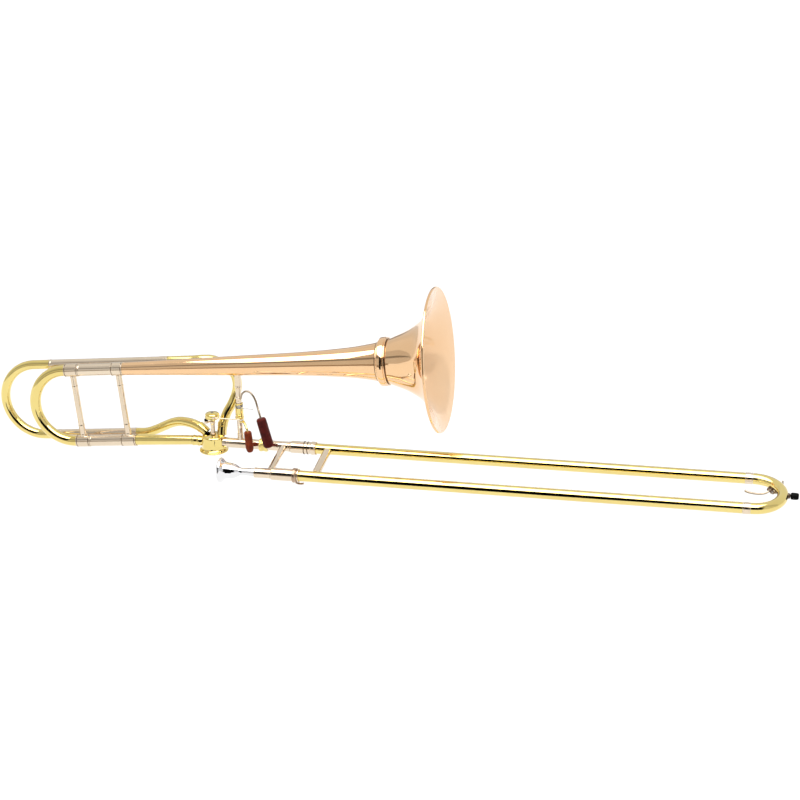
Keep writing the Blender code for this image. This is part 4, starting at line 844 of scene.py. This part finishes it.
def make_inner_slide():
    """Inner tubes, barrels, lock ring, brace and mouthpiece receiver."""
    far_start, near_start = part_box("cork_barrel_far")[0].x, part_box("cork_barrel_near")[0].x
    tube_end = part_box("inner_tube_far")[1].x
    for side, at, start in (("far", FAR, far_start), ("near", NEAR, near_start)):
        turned(f"stocking_tube_{side}", [
            (start, 0.0066), (start, 0.0069), (tube_end - 0.11, 0.0069), (tube_end - 0.108, 0.007),
            (tube_end, 0.007), (tube_end, 0.0066),
        ], at, 56, 0.0002, "nickel", "horn_body", f"inner_tube_{side}")

    far_rim = (
        (-0.0082, 0.0093), (-0.0078, 0.0098), (-0.0072, 0.0102), (-0.0028, 0.0102), (-0.0022, 0.0097),
        (-0.0014, 0.0097), (-0.0008, 0.0104),
    )
    near_rim = (-0.0022, 0.0093), (-0.0014, 0.0104)
    for side, at, start, rim in (("far", FAR, far_start, far_rim), ("near", NEAR, near_start, near_rim)):
        turned(f"slide_barrel_{side}", [
            *shifted(start, (0, 0.0073), (0, 0.0081), (0.0006, 0.0088), (0.0012, 0.0093)),
            *shifted(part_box(f"cork_barrel_{side}")[1].x, *rim, (0, 0.0104), (0, 0.0095), (-0.002, 0.0086)),
            *shifted(start, (0.014, 0.0086), (0.014, 0.0073)),
        ], at, 72, 0.0003, "nickel", "horn_body", f"cork_barrel_{side}")

    ring = bmesh.new()
    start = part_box("slide_lock_ring")[0].x
    knurls = 40

    def knurled(reach, angle):
        """Knurls round the middle of the ring."""
        return 0.009 * (math.cos(knurls * angle) - 1) * (abs(reach - start - 0.0032) < 0.0014)

    profile = shifted(
        start, (0, 0.0096), (0, 0.0103), (0.0004, 0.0108), (0.001, 0.011), (0.0018, 0.0108),
        (0.0022, 0.0107), (0.0042, 0.0107), (0.0046, 0.0108), (0.0054, 0.011), (0.006, 0.0107),
        (0.0063, 0.0103), (0.0063, 0.0096),
    )
    add_lathe(ring, profile, NEAR, knurls * 4, 0, knurled)
    lug = (0.003, -0.0108), (0.008, -0.0126), (0.0125, -0.0128), (0.016, -0.0118)
    lug_path = smooth_curve([(start + x, 0, z) for x, z in lug], 0.001)
    add_tube(ring, lug_path, lambda s: 0.0018 - 0.0004 * s, 0.0, NEAR, 24)
    piece("slide_lock_collar", ring, "lock_ring", "slide_lock_ring", "slide_lock_ring", slot="nickel")

    place, length = along(FAR_LINE * 0.84, NEAR_LINE * 0.84)
    turned("inner_slide_brace", [
        (0, 0), (0, 0.0052), (length * 0.2, 0.0052), (length * 0.21, 0.005), (length * 0.79, 0.005),
        (length * 0.8, 0.0052), (length, 0.0052), (length, 0),
    ], place, 56, 0.0002, "nickel", "horn_body", "inner_brace")

    turned("mouthpiece_socket", [
        (-0.0215, 0.0066), (-0.0215, 0.0072), (-0.0211, 0.0077), (-0.0182, 0.0077), (-0.0178, 0.0075),
        *shifted(near_start, (-0.003, 0.0075), (-0.0026, 0.0077), (-0.0003, 0.0077), (-0.0003, 0.0064)),
    ], NEAR, 64, 0.0003, "nickel", "horn_body", "mouthpiece_receiver")


def make_mouthpiece():
    """Cup, throat and shank, silver plated."""
    rim, end = (corner.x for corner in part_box("mouthpiece"))
    outside = [
        (0.0, 0.0154), (0.0001, 0.0164), (0.0005, 0.0174), (0.0013, 0.0183), (0.0026, 0.0189),
        (0.0038, 0.01885), (0.005, 0.0182), (0.006, 0.0171), (0.0072, 0.0156), (0.0086, 0.0142),
        (0.0102, 0.0132), (0.0125, 0.0125), (0.016, 0.0121), (0.02, 0.0117), (0.0235, 0.011),
        (0.0265, 0.0098), (0.0295, 0.008), (0.0318, 0.0065), (0.0334, 0.0058), (0.0345, 0.0054),
        (0.0352, 0.0056), (0.0358, 0.0052), (0.038, 0.0053), (0.05, 0.0059), (0.056, 0.0062),
    ]
    inside = [
        (0.033, 0.0035), (0.0305, 0.0035), (0.0288, 0.0037), (0.0268, 0.0046), (0.024, 0.0062),
        (0.02, 0.0083), (0.015, 0.0102), (0.01, 0.0116), (0.006, 0.0124), (0.003, 0.0128), (0.0015, 0.013),
        (0.0006, 0.0134), (0.0002, 0.0142),
    ]
    shank = shifted(end, (-0.0003, 0.0058), (0, 0.0056), (0, 0.005))
    profile = shifted(rim, *outside) + shank + shifted(rim, *inside)
    turned("silver_mouthpiece", profile, NEAR, 112, 0, "silver", "mouthpiece", "mouthpiece", sharp=50)


OUTER_RADIUS = 0.0081
OUTER_BRACE_X = middle("outer_brace").x


def make_outer_slide():
    """Outer tubes, ferrules, brace, bow, bumper and its stud."""
    for side, at in (("far", FAR), ("near", NEAR)):
        start, end = (corner.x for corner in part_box(f"outer_tube_{side}"))
        turned(f"slide_tube_{side}", [
            (start, 0.0075), (start, OUTER_RADIUS), (end, OUTER_RADIUS), (end, 0.0075),
        ], at, 72, 0.0001, "yellow_brass", "hand_slide", f"outer_tube_{side}")
        start, end = (corner.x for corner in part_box(f"bow_ferrule_{side}"))
        ferrule = ferrule_outline(start, end, 0.0087, 0.0075, 0.0004)
        turned(f"slide_ferrule_{side}", ferrule, at, 72, 0.0001, "nickel", "hand_slide",
               f"bow_ferrule_{side}")

    offset = X * OUTER_BRACE_X
    place, length = along(FAR_LINE * 0.83 + offset, NEAR_LINE * 0.83 + offset)
    turned("outer_slide_brace", [(0, 0), (0, 0.0063), (length, 0.0063), (length, 0)], place, 56, 0.0002,
           "nickel", "hand_slide", "outer_brace")

    bow = bmesh.new()
    path = [Vector((-p.x, p.z, 0)) for p in half_circle(SLIDE_SPACING / 2, (0.001, 0.001))]
    add_tube(bow, path, OUTER_RADIUS, 0.0075, SLIDE_BOW, 56)
    piece("hand_slide_bow", bow, "yellow_brass", "hand_slide", "slide_bow")

    apex = SLIDE_SPACING / 2 + OUTER_RADIUS
    turned("bumper_socket", shifted(
        apex, (-0.0006, 0), (-0.0006, 0.0042), (0.0004, 0.004), (0.0018, 0.0037), (0.0024, 0.003),
        (0.0026, 0.0016), (0.01, 0.0016), (0.01, 0),
    ), SLIDE_BOW, 48, 0.0003, "dark_steel", "hand_slide", "bumper_stud", slot="yellow_brass")
    turned("rubber_bumper", shifted(
        apex, (0.0028, 0.0019), (0.0028, 0.0036), (0.0032, 0.0042), (0.0038, 0.0048), (0.005, 0.005),
        (0.0116, 0.005), (0.013, 0.0046), (0.0139, 0.0038), (0.0143, 0.0028), (0.0143, 0), (0.0103, 0),
        (0.0103, 0.0019),
    ), SLIDE_BOW, 56, 0.0005, "black_rubber", "hand_slide", "slide_bumper")


KEY_ANGLE = math.radians(41.0)
KEY_PLANE = SLIDE_BOW @ Matrix.Rotation(KEY_ANGLE, 4, "Z")     # X out through the bow at the key


def make_water_key():
    """The key across the bow: its saddle, pin, finger lever, arm and cup."""
    joint = JOINTS["water_key_turn"]
    pin = Vector(joint["axis"])
    pivot = Vector(joint["pos_m"])
    finger = [
        SLIDE_BOW @ Vector(p)
        for p in ((-0.0103, 0.0176, -0.0072), (-0.007, 0.0166, -0.0081), (0.001, 0.0154, -0.0089),
                  (0.011, 0.0153, -0.0091), (0.019, 0.0175, -0.008))
    ]
    reach = SLIDE_SPACING / 2
    arm = [
        KEY_PLANE @ Vector((radial, 0, height))
        for radial, height in ((0.0325, -0.0085), (0.036, -0.0118), (0.042, -0.0126), (0.0485, -0.011),
                               (0.0535, -0.006), (0.0548, -0.0005), (0.0542, 0.0025))
    ]
    key = bmesh.new()
    add_tube(key, smooth_curve([*finger, pivot], 0.0012), lambda s: 0.0017 - 0.0005 * s, 0.0, WORLD, 24)
    add_ball(key, finger[0], 0.0018)
    add_bar(key, pivot - pin * 0.0017, pivot + pin * 0.0017, 0.0023)
    add_tube(key, smooth_curve([pivot, *arm], 0.0012), lambda s: 0.0013 - 0.0002 * s, 0.0, WORLD, 20)
    add_ball(key, arm[-1], 0.0012)
    add_lathe(key, [(-0.0128, 0), (-0.0128, 0.003), (-0.0122, 0.0037), (-0.0107, 0.0037), (-0.0104, 0.0033),
                    (-0.0104, 0)], KEY_PLANE @ Matrix.Translation((reach, 0, 0)) @ UPRIGHT, 40, 0.0003)
    piece("water_key_lever", key, "worn_nickel", "water_key", "water_key", slot="nickel")

    saddle = bmesh.new()
    foot = KEY_PLANE @ Vector((reach - OUTER_RADIUS + 0.0003, 0, -0.0014))
    for side in (1, -1):
        cheek = pivot + pin * 0.0033 * side
        add_bar(saddle, cheek - pin * 0.0011, cheek + pin * 0.0011, 0.0024)
        add_tube(saddle, [cheek, cheek.lerp(foot + pin * 0.0026 * side, 0.5), foot + pin * 0.0026 * side],
                 lambda s: 0.0018 + 0.0004 * s, 0.0, WORLD, 20)
    piece("water_key_bracket", saddle, "dark_steel", "hand_slide", "water_key_saddle", slot="nickel")
    hinge = bmesh.new()
    add_bar(hinge, pivot - pin * 0.005, pivot + pin * 0.005, 0.0008)
    piece("water_key_hinge", hinge, "steel", "hand_slide", "water_key_pin")
    pad = bmesh.new()
    add_lathe(pad, [(-0.0101, 0), (-0.0101, 0.0031), (-0.0088, 0.0031), (-0.0085, 0.0028), (-0.0085, 0)],
              KEY_PLANE @ Matrix.Translation((reach, 0, 0)) @ UPRIGHT, 40, 0.0003)
    piece("water_key_pad", pad, "cork", "water_key", "water_key_cork")


# ---------------------------------------------------------------- light, floor and camera

FLOOR_DEPTH = -0.9
FLOOR_RADIUS, WALL_RADIUS, WALL_TOP = 30.0, 29.9, 20.0
CARD_Y = -3.0                      # the upright cards, behind the camera
SOFTBOX_Z = 1.25
WHITE, BLACK = (1.0, 1.0, 1.0), (0.0, 0.0, 0.0)


def make_camera():
    """The camera at the photograph's angle."""
    data = bpy.data.cameras.new("camera")
    data.sensor_width = 36.0
    data.lens = 79.73325
    data.clip_start, data.clip_end = 0.05, 100.0
    camera = bpy.data.objects.new("camera", data)
    bpy.context.scene.collection.objects.link(camera)
    right = Vector((0.97607, 0.21682, -0.01685))
    up = Vector((-0.061, 0.34733, 0.93576))
    back = Vector((0.20873, -0.91233, 0.35225))
    basis = Matrix((right, up, back)).transposed().to_4x4()
    camera.matrix_world = Matrix.Translation((0.7327, -2.3613, 1.0202)) @ basis
    bpy.context.scene.camera = camera


def add_stage(name, shape, material):
    """Turn a shape into part of the studio."""
    mesh = bpy.data.meshes.new(name)
    shape.to_mesh(mesh)
    shape.free()
    mesh.materials.append(material)
    made = bpy.data.objects.new(name, mesh)
    bpy.context.scene.collection.objects.link(made)
    return made


def glow(name, colour, strength):
    """Black cloth that gives the stated light."""
    g = Graph(name)
    g.shader.inputs["Base Color"].default_value = (*BLACK, 1.0)
    g.shader.inputs["Specular IOR Level"].default_value = 0.0
    g.shader.inputs["Emission Color"].default_value = (*colour, 1.0)
    g.shader.inputs["Emission Strength"].default_value = strength
    return g.material


def add_card(name, corners, colour, strength):
    """A card that only reflections see."""
    shape = bmesh.new()
    shape.faces.new([shape.verts.new(corner) for corner in corners])
    card = add_stage(name, shape, glow(name + "_cloth", colour, strength))
    card.visible_camera = card.visible_diffuse = card.visible_shadow = False


def make_room():
    """A pale floor well below the instrument, and a white wall that only the camera sees."""
    shape = bmesh.new()
    add_lathe(shape, [(FLOOR_DEPTH, FLOOR_RADIUS), (FLOOR_DEPTH, 0)], UPRIGHT, 96, 0)
    g = Graph("floor_paint")
    g.shader.inputs["Base Color"].default_value = (0.8, 0.8, 0.8, 1.0)
    g.feed(g.shader.inputs["Roughness"], g.remap(g.noise(3.0, 3.0), 0.3, 0.7, 0.86, 0.92))
    add_stage("floor", shape, g.material)

    shape = bmesh.new()
    turns = [math.pi * k / 24 for k in range(48)]
    skin(shape, *[
        [shape.verts.new((WALL_RADIUS * math.cos(turn), WALL_RADIUS * math.sin(turn), z)) for turn in turns]
        for z in (FLOOR_DEPTH, WALL_TOP)
    ])
    wall = add_stage("wall", shape, glow("wall_cloth", WHITE, 1.0))
    wall.visible_diffuse = wall.visible_shadow = wall.visible_glossy = False


def make_lights():
    """Cards for the streaks on the tubes, an overhead softbox and a broad fill."""
    flag = [(-0.72, 0.1), (-0.72, -0.89), (0.05, -0.89), (0.5, -0.2), (0.6, 0.1)]
    add_card("flag", [(x, CARD_Y, z) for x, z in flag], BLACK, 0.0)
    brown = [(-0.72, 0.16), (-0.72, -0.42), (-4.0, -0.42), (-4.0, 0.16)]
    add_card("brown_card", [(x, CARD_Y, z) for x, z in brown], (1.0, 0.86, 0.72), 0.36)
    softbox = [(-0.74, -0.86), (-0.46, -0.94), (-0.3, -1.27), (1.15, -1.27), (1.15, 0.17), (-0.74, 0.17)]
    add_card("softbox", [(x, y, SOFTBOX_Z) for x, y in softbox], WHITE, 5.0)
    sun = bpy.data.objects.new("fill", bpy.data.lights.new("fill", "SUN"))
    sun.data.energy = 2.25
    sun.data.angle = math.radians(80)
    sun.visible_glossy = False
    bpy.context.scene.collection.objects.link(sun)


def make_world():
    """A pale studio by direction: dark behind the camera, and softly banded at the back and overhead."""
    world = bpy.data.worlds.new("studio")
    bpy.context.scene.world = world
    world.use_nodes = True
    tree = world.node_tree

    def calc(operation, *values):
        """The result of a math node on numbers or sockets."""
        made = tree.nodes.new("ShaderNodeMath")
        made.operation = operation
        for socket, value in zip(made.inputs, values):
            if isinstance(value, bpy.types.NodeSocket):
                tree.links.new(value, socket)
            else:
                socket.default_value = value
        return made.outputs[0]

    def step(value, low, high):
        """0 below low, 1 above high, smooth between."""
        made = tree.nodes.new("ShaderNodeMapRange")
        made.interpolation_type = "SMOOTHSTEP"
        tree.links.new(value, made.inputs["Value"])
        made.inputs["From Min"].default_value = low
        made.inputs["From Max"].default_value = high
        return made.outputs["Result"]

    def window(value, low, high, soft):
        """1 between low and high, 0 outside, with soft edges."""
        above = step(value, low - soft, low + soft)
        return calc("MULTIPLY", above, calc("SUBTRACT", 1.0, step(value, high - soft, high + soft)))

    where = tree.nodes.new("ShaderNodeTexCoord").outputs["Generated"]
    split = tree.nodes.new("ShaderNodeSeparateXYZ")
    tree.links.new(where, split.inputs[0])
    x, y, z = split.outputs
    # degrees round the X axis: 0 is level behind the camera, 90 is overhead, 180 is level at the back
    turn = calc("MULTIPLY", calc("ARCTAN2", z, calc("MULTIPLY", y, -1.0)), 180 / math.pi)

    left = calc("SUBTRACT", 1.0, step(x, -0.312, -0.288))
    left_level = calc("SUBTRACT", 0.66, calc("MULTIPLY", window(turn, 32, 46, 2.5), 0.4))
    right = step(x, 0.5, 0.62)
    sides = calc("ADD", calc("MULTIPLY", left, left_level), calc("MULTIPLY", right, 0.75))
    front_level = calc("MAXIMUM", sides, 0.003)

    line = calc("MULTIPLY", window(turn, 162, 177, 2.0), window(x, -0.5, 0.15, 0.05))
    rear = calc("SUBTRACT", 0.85, calc("MULTIPLY", line, 0.5))
    back_level = calc("SUBTRACT", rear, calc("MULTIPLY", window(turn, 46, 80, 3.0), 0.22))

    front = window(turn, -25, 46, 2.5)
    level = calc("ADD", back_level, calc("MULTIPLY", front, calc("SUBTRACT", front_level, back_level)))
    ends = calc("MULTIPLY", calc("SUBTRACT", 1.0, step(x, -0.5, -0.38)), step(y, 0.42, 0.6))
    ends = calc("MULTIPLY", ends, window(z, -0.2, 0.66, 0.05))
    level = calc("MULTIPLY", level, calc("SUBTRACT", 1.0, calc("MULTIPLY", ends, 0.1)))
    tree.links.new(level, tree.nodes["Background"].inputs["Strength"])
    tree.nodes["Background"].inputs["Color"].default_value = (*WHITE, 1.0)


dress_frame()
make_camera()
make_room()
make_lights()
make_world()
bpy.context.scene.view_settings.view_transform = "Standard"
make_bell()
make_main_legs()
make_f_attachment()
make_valve()
make_neck_and_ports()
make_post()
make_trigger()
make_hand_rest()
make_inner_slide()
make_mouthpiece()
make_outer_slide()
make_water_key()
